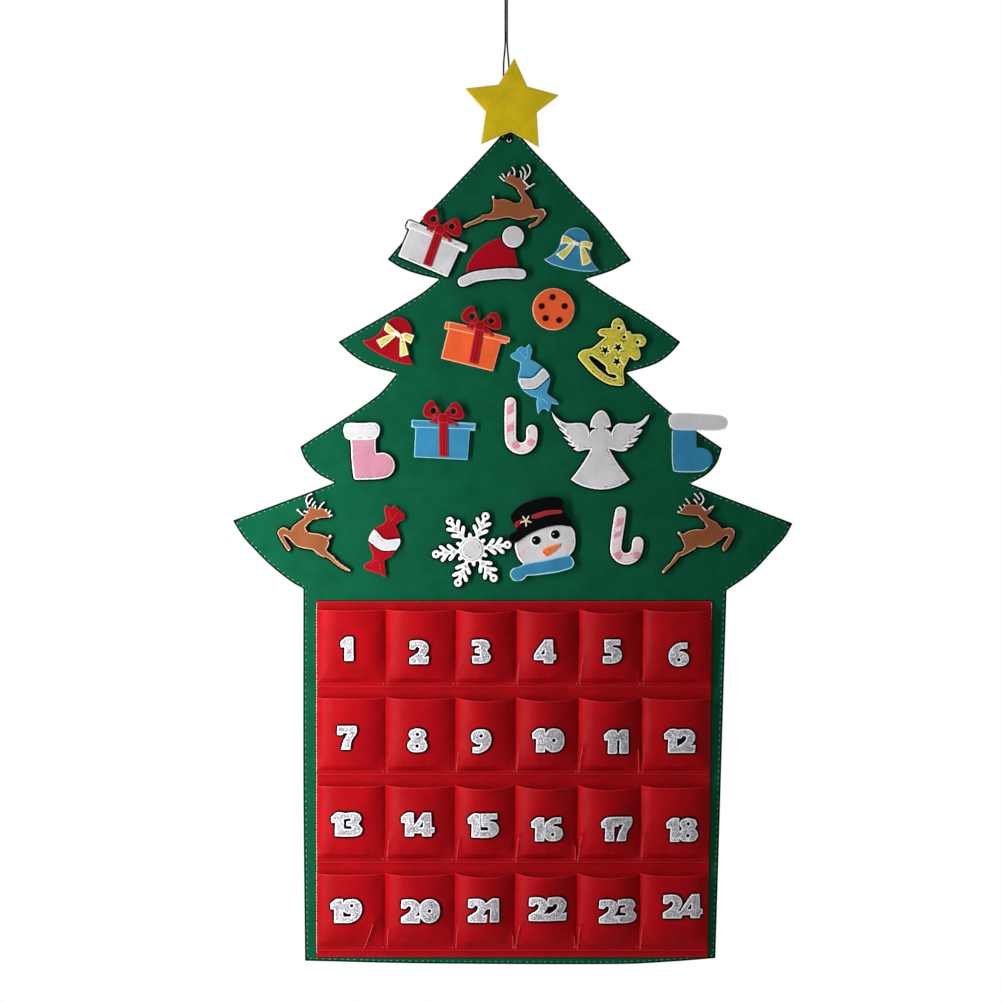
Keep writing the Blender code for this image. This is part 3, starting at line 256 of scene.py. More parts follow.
DEEP_RED = felt("felt_deep_red", rgb(152, 12, 26), pale=rgb(196, 62, 72), pale_width=1.0, pale_share=0.6)
BOX_RED = felt("felt_ribbon_red", rgb(150, 12, 22), pale=rgb(170, 58, 68), pale_width=1.4, pale_share=0.75)
CHOCOLATE = felt("felt_chocolate", rgb(46, 10, 8), pale=rgb(120, 50, 40), pale_width=0.6)
CARROT = felt("felt_carrot", rgb(222, 106, 52), pale=rgb(240, 170, 130), pale_width=1.0, pale_share=0.6)
BLUSH = felt("felt_blush", rgb(214, 180, 190))
GLITTER = glitter("glitter_white", rgb(160, 158, 167), rim_width=1.5, contrast=0.8)
HOOKS = plain("hook_tape", rgb(214, 212, 205))
CORD_RED = thread("cord_red", rgb(48, 2, 7), sheen=0.0, specular=0.03)
# painted shadow round the numbers
NUMBER_SHADOW = felt("felt_number_shadow", rgb(22, 3, 5), sheen=0, specular=0.02)
# painted shadow: near-black layers under pieces that show as dark lines round them
PAINTED_SHADOW = felt("felt_painted_shadow", rgb(4, 14, 10), sheen=0, specular=0.02)
# the tree's edge stitches: real thread, its pale mint tone partly painted highlight
STITCH_MINT_HIGHLIT = thread("thread_mint_highlit", rgb(118, 178, 146))
STITCH_RED = thread("thread_red", rgb(150, 14, 24))
STITCH_DARK = thread("thread_dark", rgb(60, 48, 30))
STITCH_BEIGE = thread("thread_beige", rgb(216, 190, 170))
STITCH_BONE = thread("thread_bone", rgb(232, 224, 202))
STITCH_TAN = thread("thread_tan", rgb(214, 178, 140))
STITCH_SNOW = thread("thread_snow", rgb(240, 240, 242))
STITCH_ICE = thread("thread_ice", rgb(190, 226, 240))
STITCH_ROSE = thread("thread_rose", rgb(170, 30, 42))
STITCH_RUST = thread("thread_rust", rgb(120, 40, 18))
# painted highlight: a lighter, glossier red for lit fold crests and seam tacks
CREST_HIGHLIGHT = thread("thread_crest_highlight", rgb(214, 62, 66), sheen=0, specular=0.5)
# near-black thread; it also paints shade: the dark strips under the antlers' prongs and the dark lines round
# the bows
INK_AND_SHADE = thread("thread_ink_and_shade", rgb(9, 9, 10), sheen=0, specular=0.02)
BONE = felt("felt_bone", rgb(236, 232, 214))
# white felt for the eyes' painted highlights: a ring round each eye and a glint
EYE_HIGHLIGHT = felt("felt_eye_highlight", rgb(232, 232, 236))
# a lighter copy of the hat band's red: painted highlight on the band's right part
HAT_BAND_HIGHLIT = felt("felt_hat_band_highlit", rgb(152, 34, 40), pale=rgb(196, 84, 86), pale_width=0.8)


# Outlines of the CAD's flat felt

def traced(faces):
    """Directed boundary loops of a set of faces, as lists of (x, z)."""
    ways = {}
    for f in faces:
        for corner in f.loops:
            ways[corner.vert.index, corner.link_loop_next.vert.index] = corner
    after = {}
    for a, b in ways:
        if (b, a) not in ways:
            after.setdefault(a, []).append(b)
    spots = {c.vert.index: (c.vert.co.x, c.vert.co.z) for c in ways.values()}
    loops = []
    while after:
        start = next(iter(after))
        loop, here = [], start
        while True:
            loop.append(spots[here])
            onward = after[here]
            there = onward.pop()
            if not onward:
                del after[here]
            here = there
            if here == start:
                break
        loops.append(loop)
    return loops


def regions(node, front=True, lean=False):
    """The flat fronts or backs of a CAD node: the silhouette's loops, the regions as (y, loops), the lean."""
    bm = bmesh.new()
    bm.from_mesh(NODES[node].data)
    bmesh.ops.remove_doubles(bm, verts=bm.verts, dist=0.001 * MM)
    bm.normal_update()
    way = -1 if front else 1
    bmesh.ops.delete(bm, geom=[f for f in bm.faces if f.normal.y * way < 0.7], context="FACES")
    slope = (0.0, 0.0, 0.0)
    if lean:
        at = np.array([v.co[:] for v in bm.verts])
        slope = np.linalg.lstsq(np.c_[np.ones(len(at)), at[:, 0], at[:, 2]], at[:, 1], rcond=None)[0]
    level = bm.faces.layers.float.new("level")
    for f in bm.faces:
        middle = f.calc_center_median()
        f[level] = middle.y - slope[1] * middle.x - slope[2] * middle.z
    for v in bm.verts:
        v.co.y = 0
    bmesh.ops.remove_doubles(bm, verts=bm.verts, dist=0.003 * MM)
    bm.verts.index_update()
    bm.faces.ensure_lookup_table()
    whole = traced(bm.faces)
    seen, parts = set(), []
    for f in bm.faces:
        if f.index in seen:
            continue
        seen.add(f.index)
        stack, members = [f], []
        while stack:
            g = stack.pop()
            members.append(g)
            for e in g.edges:
                for h in e.link_faces:
                    if h.index not in seen and abs(h[level] - f[level]) < 0.05 * MM:
                        seen.add(h.index)
                        stack.append(h)
        parts.append((f[level], traced(members)))
    bm.free()
    if not front:
        whole = [loop[::-1] for loop in whole]
        parts = [(y, [loop[::-1] for loop in loops]) for y, loops in parts]
    return whole, parts, slope


FINE = 0.3 * MM        # spacing of points while a cut line is worked out
EDGE = 0.7 * MM        # usual rounding of a cut edge
ROW_SHARE = 0.866      # height of a row of triangles, as a share of their side
SHARP = 62             # edges that fold by more degrees than this are shaded sharp


def smooth_loop(loop, step, soft=0.45 * MM, corner=50):
    """A closed cut line through the loop's points.

    It runs smoothly through bends up to corner degrees. Sharper corners are kept, all are softened a
    little, and few, even points are taken as a circle.
    """
    p = np.array(loop)
    keep = []
    for i in range(len(p)):
        a, b, c = p[i - 1], p[i], p[(i + 1) % len(p)]
        u, v = b - a, c - b
        lu, lv = np.hypot(*u), np.hypot(*v)
        if lu < 1e-6:
            continue
        cross = abs(u[0] * v[1] - u[1] * v[0]) / max(lu * lv, 1e-12)
        if cross > 0.006 or u @ v < 0:
            keep.append(i)
    p = p[keep]
    n = len(p)
    ahead = np.roll(p, -1, 0) - p
    size = np.hypot(ahead[:, 0], ahead[:, 1])
    unit = ahead / size[:, None]
    back_unit = np.roll(unit, 1, 0)
    back_size = np.roll(size, 1)
    turn = np.degrees(np.arccos(np.clip((unit * back_unit).sum(1), -1, 1)))
    sharp = turn > corner
    if 5 <= n <= 12 and size.max() < 1.35 * size.min() and np.ptp(turn) < 15:
        sharp[:] = False
    blend = unit * size[:, None] + back_unit * back_size[:, None]
    blend /= np.maximum(np.hypot(blend[:, 0], blend[:, 1]), 1e-9)[:, None]
    fine = []
    for i in range(n):
        j = (i + 1) % n
        out = unit[i] if sharp[i] else blend[i]
        into = unit[i] if sharp[j] else blend[j]
        count = max(2, int(size[i] / FINE))
        t = np.arange(count)[:, None] / count
        h00, h10 = 2 * t**3 - 3 * t**2 + 1, t**3 - 2 * t**2 + t
        h01, h11 = -2 * t**3 + 3 * t**2, t**3 - t**2
        fine.append(h00 * p[i] + h10 * out * size[i] + h01 * p[j] + h11 * into * size[i])
    line = even(np.vstack(fine), FINE)
    sigma = soft / FINE
    reach = int(3 * sigma) + 1
    weights = np.exp(-0.5 * (np.arange(-reach, reach + 1) / sigma) ** 2)
    weights /= weights.sum()
    out = sum(w * np.roll(line, k, 0) for k, w in zip(range(-reach, reach + 1), weights))
    return even(out, step)


def even(line, step):
    """The closed line with points a step apart."""
    closed = np.vstack([line, line[:1]])
    run = np.r_[0, np.cumsum(np.hypot(*np.diff(closed, axis=0).T))]
    count = max(8, int(run[-1] / step))
    at = np.arange(count) * run[-1] / count
    return np.c_[np.interp(at, run, closed[:, 0]), np.interp(at, run, closed[:, 1])]


def inward(line):
    """Unit vectors that point into the closed line's felt, one at each of its points."""
    ahead = np.roll(line, -1, 0) - np.roll(line, 1, 0)
    ahead /= np.maximum(np.hypot(ahead[:, 0], ahead[:, 1]), 1e-9)[:, None]
    return np.c_[-ahead[:, 1], ahead[:, 0]]


def outset(line, distance):
    """The loop moved outwards, without the crossings in its tight corners."""
    moved = line - inward(line) * distance
    gap = np.linalg.norm(moved[:, None] - line[None], axis=2).min(1)
    return moved[gap > 0.97 * distance]


def triangles(loops, loose):
    """Constrained triangulation of oriented loops with loose points inside. Returns points, triangles."""
    points, faces, holes, start = [], [], [], 0
    for number, loop in enumerate(loops):
        area = np.sum(loop[:, 0] * np.roll(loop[:, 1], -1) - loop[:, 1] * np.roll(loop[:, 0], -1))
        order = list(range(start, start + len(loop)))
        if area < 0:
            holes.append(number)
            order = order[::-1]
        faces.append(order)
        points += [Vector(q) for q in loop]
        start += len(loop)
    points += [Vector(q) for q in loose]
    spots, _, tris, origins, _, owners = delaunay_2d_cdt(points, [], faces, 1, 1e-7)
    kept = [t for t, own in zip(tris, owners) if own and not any(o in holes for o in own)]
    return spots, kept, origins


def add_mesh(name, verts, faces, material, body, rim=None, replaces=()):
    """A mesh that rides on a body; rim gives each vertex its distance from the cut edge."""
    mesh = bpy.data.meshes.new(name)
    mesh.from_pydata([tuple(v) for v in verts], [], faces)
    mesh.update()
    if rim is not None:
        layer = mesh.attributes.new("rim", "FLOAT", "POINT")
        layer.data.foreach_set("value", np.asarray(rim, dtype=np.float32))
    mesh.shade_smooth()
    mesh.materials.append(material)
    made = bpy.data.objects.new(name, mesh)
    scene.collection.objects.link(made)
    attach(made, body)
    for node in replaces:
        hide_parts(node)
    return made


def distance_from(line):
    """A function that gives a place's distance from the line's nearest point."""
    near = KDTree(len(line))
    for i, q in enumerate(line):
        near.insert((q[0], 0, q[1]), i)
    near.balance()
    return lambda q: near.find((q[0], 0, q[1]))[2]


def slab(name, loops, front, back, material, body, step=0.9 * MM, grid=2.2 * MM, edge=EDGE, crown=0.15 * MM,
         wave=0.08 * MM, slope=None, soft=0.45 * MM, rings=(0.12, 0.35, 0.75, 1.3), replaces=(), seed=0.0):
    """A plate of felt cut to loops, with rounded cut edges and a slightly uneven face.

    Slope gives the shift in y at a place of the front.
    """
    slope = slope or (lambda x, z: 0.0)
    cut = [smooth_loop(loop, step, soft) for loop in loops]
    outline = np.vstack(cut)
    gap = distance_from(outline)
    loose = []
    for level, ring in enumerate(rings):
        ring *= MM * edge / EDGE
        every = 1 if level < 2 else 2
        for line in cut:
            inner = line + inward(line) * ring
            loose += [q for q in inner[::every] if gap(q) > 0.9 * ring]
    last = rings[-1] * MM * edge / EDGE
    low, high = outline.min(0), outline.max(0)
    rows = int((high[1] - low[1]) / (grid * ROW_SHARE)) + 1
    for j in range(rows):
        z = low[1] + j * grid * ROW_SHARE
        x = low[0] + (grid / 2 if j % 2 else 0)
        while x < high[0]:
            if gap((x, z)) > last + 0.45 * grid:
                loose.append((x, z))
            x += grid
    spots, kept, origins = triangles(cut, loose)
    total = len(outline)
    used = sorted({i for t in kept for i in t})
    index = {old: new for new, old in enumerate(used)}
    place = {}
    for old in used:
        for origin in origins[old]:
            if origin < total:
                place[origin] = index[old]
    verts, rim = [], []
    radius = min(edge, 0.48 * (back - front))
    for old in used:
        x, z = spots[old]
        d = 0.0 if origins[old] and min(origins[old]) < total else gap((x, z))
        y = front + (radius - math.sqrt(max(0.0, radius**2 - (radius - min(d, radius)) ** 2)))
        swell = 1 - math.exp(-max(0.0, d - radius) / (4 * MM))
        uneven = noise.noise(Vector((x / (14 * MM), seed, z / (14 * MM))))
        fine = noise.noise(Vector((x / (3.5 * MM), seed + 7, z / (3.5 * MM))))
        y -= crown * swell + wave * (uneven + 0.45 * fine) * min(1.0, d / (1.5 * MM))
        verts.append((x, y + slope(x, z), z))
        rim.append(d)
    faces = [[index[i] for i in t] for t in kept]
    backs = []
    for line in cut:
        wall, foot = [], []
        inner = line + inward(line) * 0.25 * MM
        for q, r in zip(line, inner):
            verts.append((q[0], back - 0.3 * MM + slope(*q), q[1]))
            wall.append(len(verts) - 1)
            verts.append((r[0], back + slope(*r), r[1]))
            foot.append(len(verts) - 1)
            rim += [0.0, 3 * MM]
        backs.append((inner, wall, foot))
    start = 0
    for (inner, wall, foot), line in zip(backs, cut):
        n = len(line)
        top = [place.get(start + i) for i in range(n)]
        for i in range(n):
            j = (i + 1) % n
            if top[i] is not None and top[j] is not None and top[i] != top[j]:
                faces.append([top[i], wall[i], wall[j], top[j]])
            faces.append([wall[i], foot[i], foot[j], wall[j]])
        start += n
    flat = [inner for inner, _, _ in backs]
    feet = [f for _, _, foot in backs for f in foot]
    spots, kept, origins = triangles(flat, [])
    extra = {}
    for i in range(len(spots)):
        if origins[i]:
            extra[i] = feet[min(origins[i])]
        else:
            x, z = spots[i]
            verts.append((x, back + slope(x, z), z))
            rim.append(3 * MM)
            extra[i] = len(verts) - 1
    faces += [[extra[i] for i in t][::-1] for t in kept]
    faces = [f for f in faces if len(set(f)) == len(f)]
    made = add_mesh(name, verts, faces, material, body, rim, replaces)
    made.data.set_sharp_from_angle(angle=math.radians(SHARP))
    return made


def hook_dot(node, body):
    """The hook dot glued to an ornament's back."""
    _, parts, _ = regions(node, front=False)
    base = min(parts, key=lambda part: part[0])[0]
    for y, loops in parts:
        if y > base + 0.5 * MM:
            slab(f"{node}_hook_dot", loops, base - 0.3 * MM, y, HOOKS, body, grid=1.5 * MM, edge=0.3 * MM,
                 wave=0.2 * MM, crown=0)


# Camera, light, floor

WHITE_LIGHT = (1, 1, 1, 1)
WORLD_FILL = 0.29      # the world's light on the object; the camera sees it as white
FLOOR_LIFT = 0.58      # what the camera sees on top of the floor's own light
FLOOR_LEVEL, FLOOR_HALF_WIDTH, FLOOR_NEAR, FLOOR_FAR = -1.36, 3, -3.2, 0.8

camera = bpy.data.objects.new("camera", bpy.data.cameras.new("camera"))
camera.data.lens = 100
camera.data.sensor_width = 36
camera.location = (-0.0056, -2.985, -0.5601)
camera.rotation_euler = (math.radians(90), 0, 0)
scene.collection.objects.link(camera)
scene.camera = camera
scene.view_settings.view_transform = "Standard"

world = bpy.data.worlds.new("world")
scene.world = world
world.use_nodes = True
sky = world.node_tree
sky.nodes.clear()


def sky_node(kind, *sources, **settings):
    """A node of the world, its first inputs linked to the given outputs."""
    made = sky.nodes.new("ShaderNode" + kind)
    for key, value in settings.items():
        setattr(made, key, value)
    for socket, source in zip(made.inputs, sources):
        sky.links.new(source, socket)
    return made


def backdrop(strength):
    made = sky_node("Background")
    made.inputs["Color"].default_value = WHITE_LIGHT
    made.inputs["Strength"].default_value = strength
    return made.outputs[0]


rays = sky_node("LightPath").outputs
direct = sky_node("Math", rays["Is Camera Ray"], rays["Is Glossy Ray"], operation="MAXIMUM").outputs[0]
direct = sky_node("Math", direct, rays["Is Transmission Ray"], operation="MAXIMUM").outputs[0]
mixed = sky_node("MixShader", direct, backdrop(WORLD_FILL), backdrop(1.0))
sky_node("OutputWorld", mixed.outputs[0])


def lamp(name, place, aim, width, height, power):
    """An area lamp that faces a point."""
    light = bpy.data.lights.new(name, "AREA")
    light.shape = "RECTANGLE"
    light.size, light.size_y = width, height
    light.energy = power
    made = bpy.data.objects.new(name, light)
    made.location = place
    made.rotation_euler = (Vector(aim) - Vector(place)).to_track_quat("-Z", "Y").to_euler()
    scene.collection.objects.link(made)


lamp("key", (-0.48, -0.33, -0.66), (-0.05, 0, -0.68), 0.06, 0.95, 6.2)
lamp("fill", (0.3, -2.6, 0.1), (0, 0, -0.55), 1.4, 1.4, 4.4)
lamp("back_fill", (0.6, 1.8, 0.2), (0, 0, -0.55), 1.0, 1.0, 8.0)

floor_mesh = bpy.data.meshes.new("floor")
floor_corners = ((-1, FLOOR_NEAR), (1, FLOOR_NEAR), (1, FLOOR_FAR), (-1, FLOOR_FAR))
floor_mesh.from_pydata([(side * FLOOR_HALF_WIDTH, y, FLOOR_LEVEL) for side, y in floor_corners], [],
                       [(0, 1, 2, 3)])
floor = bpy.data.objects.new("floor", floor_mesh)
scene.collection.objects.link(floor)
floor_pale = plain("floor_pale", rgb(236, 236, 236), 0.8)
floor_mesh.materials.append(floor_pale)
floor_tree = floor_pale.node_tree
floor_bsdf = next(n for n in floor_tree.nodes if n.bl_idname == "ShaderNodeBsdfPrincipled")
floor_bsdf.inputs["Emission Color"].default_value = WHITE_LIGHT
floor_seen, floor_lift = floor_tree.nodes.new("ShaderNodeLightPath"), floor_tree.nodes.new("ShaderNodeMath")
floor_lift.operation = "MULTIPLY"
floor_lift.inputs[1].default_value = FLOOR_LIFT
floor_tree.links.new(floor_seen.outputs["Is Camera Ray"], floor_lift.inputs[0])
floor_tree.links.new(floor_lift.outputs[0], floor_bsdf.inputs["Emission Strength"])


# Cord

CORD_DIAMETER = 1.66 * MM
KNOT_CENTRE = (0.0030, -0.00535, -0.1729)
KNOT_SIZE = 0.62 * MM
# From the knot, up the front of the tip, round the nail, down behind the tip and through the hole
CORD_ROUTE = (
    (0.0030, -0.0054, -0.1726), (0.0028, -0.0047, -0.1695), (0.0017, -0.00425, -0.1660),
    (0.0003, -0.00415, -0.1610), (-0.0006, -0.00415, -0.1540), (-0.0014, -0.0040, -0.1420),
    (-0.0021, -0.0033, -0.1250), (-0.0027, -0.0025, -0.1080), (-0.0027, -0.0019, -0.0910),
    (-0.0016, -0.0016, -0.0780), (-0.00098, -0.0015, -0.0680), (-0.00098, -0.0015, -0.0540),
    (-0.00098, -0.0015, -0.0400), (-0.00098, -0.0015, -0.0270), (-0.00125, -0.0015, -0.0170),
    (-0.0025, -0.0015, -0.0090), (-0.0034, -0.0015, -0.0030), (-0.00245, -0.0015, -0.00015),
    (0.0, -0.0015, 0.00083), (0.00245, -0.0015, -0.00015), (0.0034, -0.0015, -0.0030),
    (0.0025, -0.0015, -0.0090), (0.00125, -0.0015, -0.0170), (0.00098, -0.0015, -0.0270),
    (0.00098, -0.0015, -0.0400), (0.00098, -0.0015, -0.0540), (0.00098, -0.0015, -0.0680),
    (0.0016, -0.0015, -0.0780), (0.0027, -0.0012, -0.0910), (0.0031, -0.0007, -0.1080),
    (0.0032, 0.0003, -0.1250), (0.0032, 0.0012, -0.1420), (0.0031, 0.0015, -0.1540),
    (0.0030, 0.0015, -0.1650), (0.0030, 0.0015, -0.1698), (0.0030, 0.00115, -0.1713),
    (0.0030, 0.0003, -0.1725), (0.0030, -0.0010, -0.1732), (0.0030, -0.0026, -0.1733),
    (0.0030, -0.0050, -0.1733),
)


def spline(route, step):
    """Evenly spaced points on a smooth curve through the route."""
    p = [np.array(q) for q in route]
    fine = []
    for i in range(len(p) - 1):
        a, b, c, d = p[max(i - 1, 0)], p[i], p[i + 1], p[min(i + 2, len(p) - 1)]
        for t in np.arange(0, 1, 1 / 16):
            fine.append(0.5 * (2 * b + (c - a) * t + (2 * a - 5 * b + 4 * c - d) * t**2
                               + (3 * b - a - 3 * c + d) * t**3))
    fine.append(p[-1])
    fine = np.array(fine)
    run = np.r_[0, np.cumsum(np.linalg.norm(np.diff(fine, axis=0), axis=1))]
    count = max(2, round(run[-1] / step))
    at = np.linspace(0, run[-1], count + 1)
    return np.c_[[np.interp(at, run, fine[:, k]) for k in range(3)]].T, run[-1]


def rope(line, radius, plies, pitch, sides, closed=False, depth=0.16):
    """A twisted tube along a line: verts and faces. The plies show as lobes that wind along it."""
    n = len(line)
    if closed:
        way = np.roll(line, -1, 0) - np.roll(line, 1, 0)
    else:
        way = np.gradient(line, axis=0)
    way /= np.linalg.norm(way, axis=1)[:, None]
    side = np.cross(way[0], (0.3, 0.5, 0.81))
    side /= np.linalg.norm(side)
    verts, run = [], 0.0
    for i in range(n):
        side = side - way[i] * (side @ way[i])
        side /= np.linalg.norm(side)
        other = np.cross(way[i], side)
        if i:
            run += np.linalg.norm(line[i] - line[i - 1])
        for k in range(sides):
            turn = 2 * math.pi * k / sides
            lobe = abs(math.cos(plies / 2 * (turn - 2 * math.pi * run / pitch)))
            r = radius * (1 - depth + depth * 1.15 * lobe)
            verts.append(line[i] + r * (math.cos(turn) * side + math.sin(turn) * other))
    faces = []
    for i in range(n if closed else n - 1):
        j = (i + 1) % n
        for k in range(sides):
            m = (k + 1) % sides
            faces.append([i * sides + k, i * sides + m, j * sides + m, j * sides + k])
    if not closed:
        faces.append(list(range(sides))[::-1])
        faces.append(list(range((n - 1) * sides, n * sides)))
    return verts, faces


def threads(name, lines, radius, material, body):
    """One mesh of plain round threads along 3D lines."""
    verts, faces = [], []
    for line in lines:
        v, f = rope(line, radius, 1, 1.0, 8, depth=0.0)
        faces += [[k + len(verts) for k in face] for face in f]
        verts += [tuple(q) for q in v]
    return add_mesh(name, verts, faces, material, body)


cord_line, cord_length = spline(CORD_ROUTE, 0.7 * MM)
verts, faces = rope(cord_line, 0.565 * CORD_DIAMETER, 3, 5.5 * MM, 18, depth=0.1)
cord = add_mesh("cord", verts, faces, CORD_RED, "tree", replaces=["hanging_cord"])
turns = np.linspace(0, 2 * math.pi, 150, endpoint=False)
trefoil = np.c_[
    KNOT_CENTRE[0] + KNOT_SIZE * (np.sin(turns) + 2 * np.sin(2 * turns)),
    KNOT_CENTRE[1] + 0.85 * KNOT_SIZE * -np.sin(3 * turns),
    KNOT_CENTRE[2] + KNOT_SIZE * (np.cos(turns) - 2 * np.cos(2 * turns)),
]
verts, faces = rope(trefoil, 0.8 * MM, 3, 4.4 * MM, 14, closed=True)
knot = add_mesh("cord_knot", verts, faces, CORD_RED, "tree")


# Stitches

STITCH_LIFT = 0.25 * MM
STITCH_SIDES = 6
# Along a stitch: share of its length, of its radius and of its lift
STITCH_FORM = ((0.0, 0.55, -0.6), (0.16, 0.92, 0.3), (0.5, 1.0, 1.0), (0.84, 0.92, 0.3), (1.0, 0.55, -0.6))
BEHIND = 0.02 * MM     # where stitches lie on the tree's back


def running(name, line, pitch, length, radius, material, body, closed=True, lift=STITCH_LIFT, start=0.0):
    """Running stitches along a 3D line: short threads that dip in at both ends.

    A negative lift is for the back.
    """
    line = np.array(line)
    if closed:
        line = np.vstack([line, line[:1]])
    run = np.r_[0, np.cumsum(np.linalg.norm(np.diff(line, axis=0), axis=1))]

    def at(s):
        return np.array([np.interp(s, run, line[:, k]) for k in range(3)])

    count = int((run[-1] - start) / pitch)
    verts, faces = [], []
    for i in range(count):
        s = start + i * pitch + 0.25 * pitch * (noise.noise(Vector((i * 1.7, len(verts) * 0.01, 3))))
        rings = []
        for t, size, out in STITCH_FORM:
            here = at(s + t * length)
            way = at(s + t * length + 0.2 * MM) - at(s + t * length - 0.2 * MM)
            way /= max(np.linalg.norm(way), 1e-9)
            side = np.cross(way, (0, 1, 0))
            side /= max(np.linalg.norm(side), 1e-9)
            ring = []
            for k in range(STITCH_SIDES):
                turn = 2 * math.pi * k / STITCH_SIDES
                offset = size * radius * (math.cos(turn) * side + math.sin(turn) * np.array((0, -1, 0)))
                verts.append(here + offset + np.array((0, -lift * out, 0)))
                ring.append(len(verts) - 1)
            rings.append(ring)
        for a, b in zip(rings, rings[1:]):
            for k in range(STITCH_SIDES):
                m = (k + 1) % STITCH_SIDES
                faces.append([a[k], a[m], b[m], b[k]])
        faces.append(rings[0][::-1])
        faces.append(rings[-1])
    return add_mesh(name, verts, faces, material, body)


def inset(loop, distance, step):
    """The cut line moved inwards, without the points that would fold over."""
    line = smooth_loop(loop, step)
    gap = distance_from(line)
    inner = line + inward(line) * distance
    kept = [q for q in inner if gap(q) > 0.93 * distance]
    return even(smooth_line(np.array(kept), 3), step)


def smooth_line(line, rounds):
    """The closed line with its points drawn towards their neighbours."""
    for _ in range(rounds):
        line = 0.5 * line + 0.25 * (np.roll(line, 1, 0) + np.roll(line, -1, 0))
    return line


# Tree, backing

def sewn_edge(name, loop, distance, front, pitch, length, radius, material):
    """Stitches round a panel, on its front and where they come through at the tree's back."""
    line = inset(loop, distance, 1.2 * MM)
    for end, y, lift, start in (("", front, STITCH_LIFT, 0.0), ("_back", BEHIND, -STITCH_LIFT, pitch / 2)):
        running(f"{name}_stitches{end}", np.c_[line[:, 0], np.full(len(line), y), line[:, 1]], pitch, length,
                radius, material, "tree", lift=lift, start=start)


tree_outline, _, _ = regions("tree_panel")
tree = slab("tree_felt", tree_outline, -3 * MM, 0.0, GREEN, "tree", step=1.8 * MM, grid=5 * MM, edge=0.8 * MM,
            crown=0, wave=0.10 * MM, replaces=["tree_panel"])
sewn_edge("tree", max(tree_outline, key=len), 2.8 * MM, -3.05 * MM, 6.6 * MM, 2.3 * MM, 0.33 * MM,
          STITCH_MINT_HIGHLIT)
backing_outline, _, _ = regions("pocket_backing")
backing = slab("backing_felt", backing_outline, -4.8 * MM, -3.3 * MM, RED, "tree", step=1.5 * MM, grid=6 * MM,
               edge=0.5 * MM, crown=0, wave=0.08 * MM, replaces=["pocket_backing"])
sewn_edge("backing", backing_outline[0], 2.2 * MM, -4.85 * MM, 4.2 * MM, 2.4 * MM, 0.24 * MM, STITCH_RED)


# Pocket strips

PANEL_TOP, PANEL_HEIGHT, PANEL_WIDTH, PANEL_TAPER = -0.6674, 0.381, 0.424, 0.005
TREE_SHIFT, PANEL_SHIFT = 0.0046, 0.004
ROWS, COLUMNS = 4, 6
STRIP_BACK, STRIP_FELT, STRIP_HEIGHT, DEPTH, MOUTH_SAG = -5.1 * MM, 1.5 * MM, 83 * MM, 13.8 * MM, 4.5 * MM
FIRST_MOUTH, STRIP_PITCH = 0.009, 0.094
FOOT_SEAM = 3.6        # mm from a strip's foot to its seam
TALL, WIDE, ALL_WIDE = 83, 68, 420     # mm in a strip's height, in a pocket's width, and in all six of them
# For each pocket column: how full it is, how its mouth sags, and how arched it is instead of flat-fronted
SEAMS = (0.0, 0.176, 0.353, 0.506, 0.664, 0.824, 1.0)
FULLNESS = (0.70, 0.86, 1.0, 1.0, 0.98, 0.78)
SAG = (0.15, 0.35, 0.75, 0.75, 0.9, 0.5)
ARCHED = (0.25, 0.7, 0.95, 1.0, 0.95, 0.3)
# Share of the fullness, across a pocket from its left seam and up it from its foot
ACROSS = ((0.0, 0.0), (0.03, 0.22), (0.08, 0.45), (0.16, 0.70), (0.26, 0.89), (0.36, 0.98), (0.44, 1.0),
          (0.56, 0.94), (0.70, 0.76), (0.83, 0.50), (0.93, 0.23), (1.0, 0.0))
FLAT = ((0.0, 0.0), (0.04, 0.34), (0.11, 0.74), (0.26, 0.97), (0.44, 1.0), (0.66, 0.93), (0.82, 0.74),
        (0.93, 0.38), (1.0, 0.0))
UP = ((0.0, 0.0), (0.045, 0.0), (0.13, 0.50), (0.32, 0.82), (0.64, 0.95), (1.0, 1.0))
# Pitch, length, radius, material and body of the strips' stitches
SEAM_THREAD = (3.6 * MM, 2.3 * MM, 0.26 * MM, STITCH_RED, "tree")


def eased(table):
    """A smooth curve through a table that never overshoots it."""
    x, y = (np.array(column) for column in zip(*table))
    h, d = np.diff(x), np.diff(y) / np.diff(x)
    m = np.zeros(len(x))
    for i in range(1, len(x) - 1):
        if d[i - 1] * d[i] > 0:
            m[i] = 2 * d[i - 1] * d[i] / (d[i - 1] + d[i])
    m[0], m[-1] = d[0], d[-1]

    def curve(t):
        i = min(max(int(np.searchsorted(x, t) - 1), 0), len(h) - 1)
        s = (t - x[i]) / h[i]
        return float((2 * s**3 - 3 * s**2 + 1) * y[i] + (s**3 - 2 * s**2 + s) * h[i] * m[i]
                     + (3 * s**2 - 2 * s**3) * y[i + 1] + (s**3 - s**2) * h[i] * m[i + 1])
    return curve


flat_curve, across_curve, up_curve = eased(FLAT), eased(ACROSS), eased(UP)


def panel_x(share, z):
    """The place a share of the way across the panel, which narrows towards its foot."""
    width = PANEL_WIDTH - PANEL_TAPER * (PANEL_TOP - z) / PANEL_HEIGHT
    return TREE_SHIFT + PANEL_SHIFT - PANEL_WIDTH / 2 + share * width


def strip_foot(row):
    return PANEL_TOP - FIRST_MOUTH - row * STRIP_PITCH - STRIP_HEIGHT


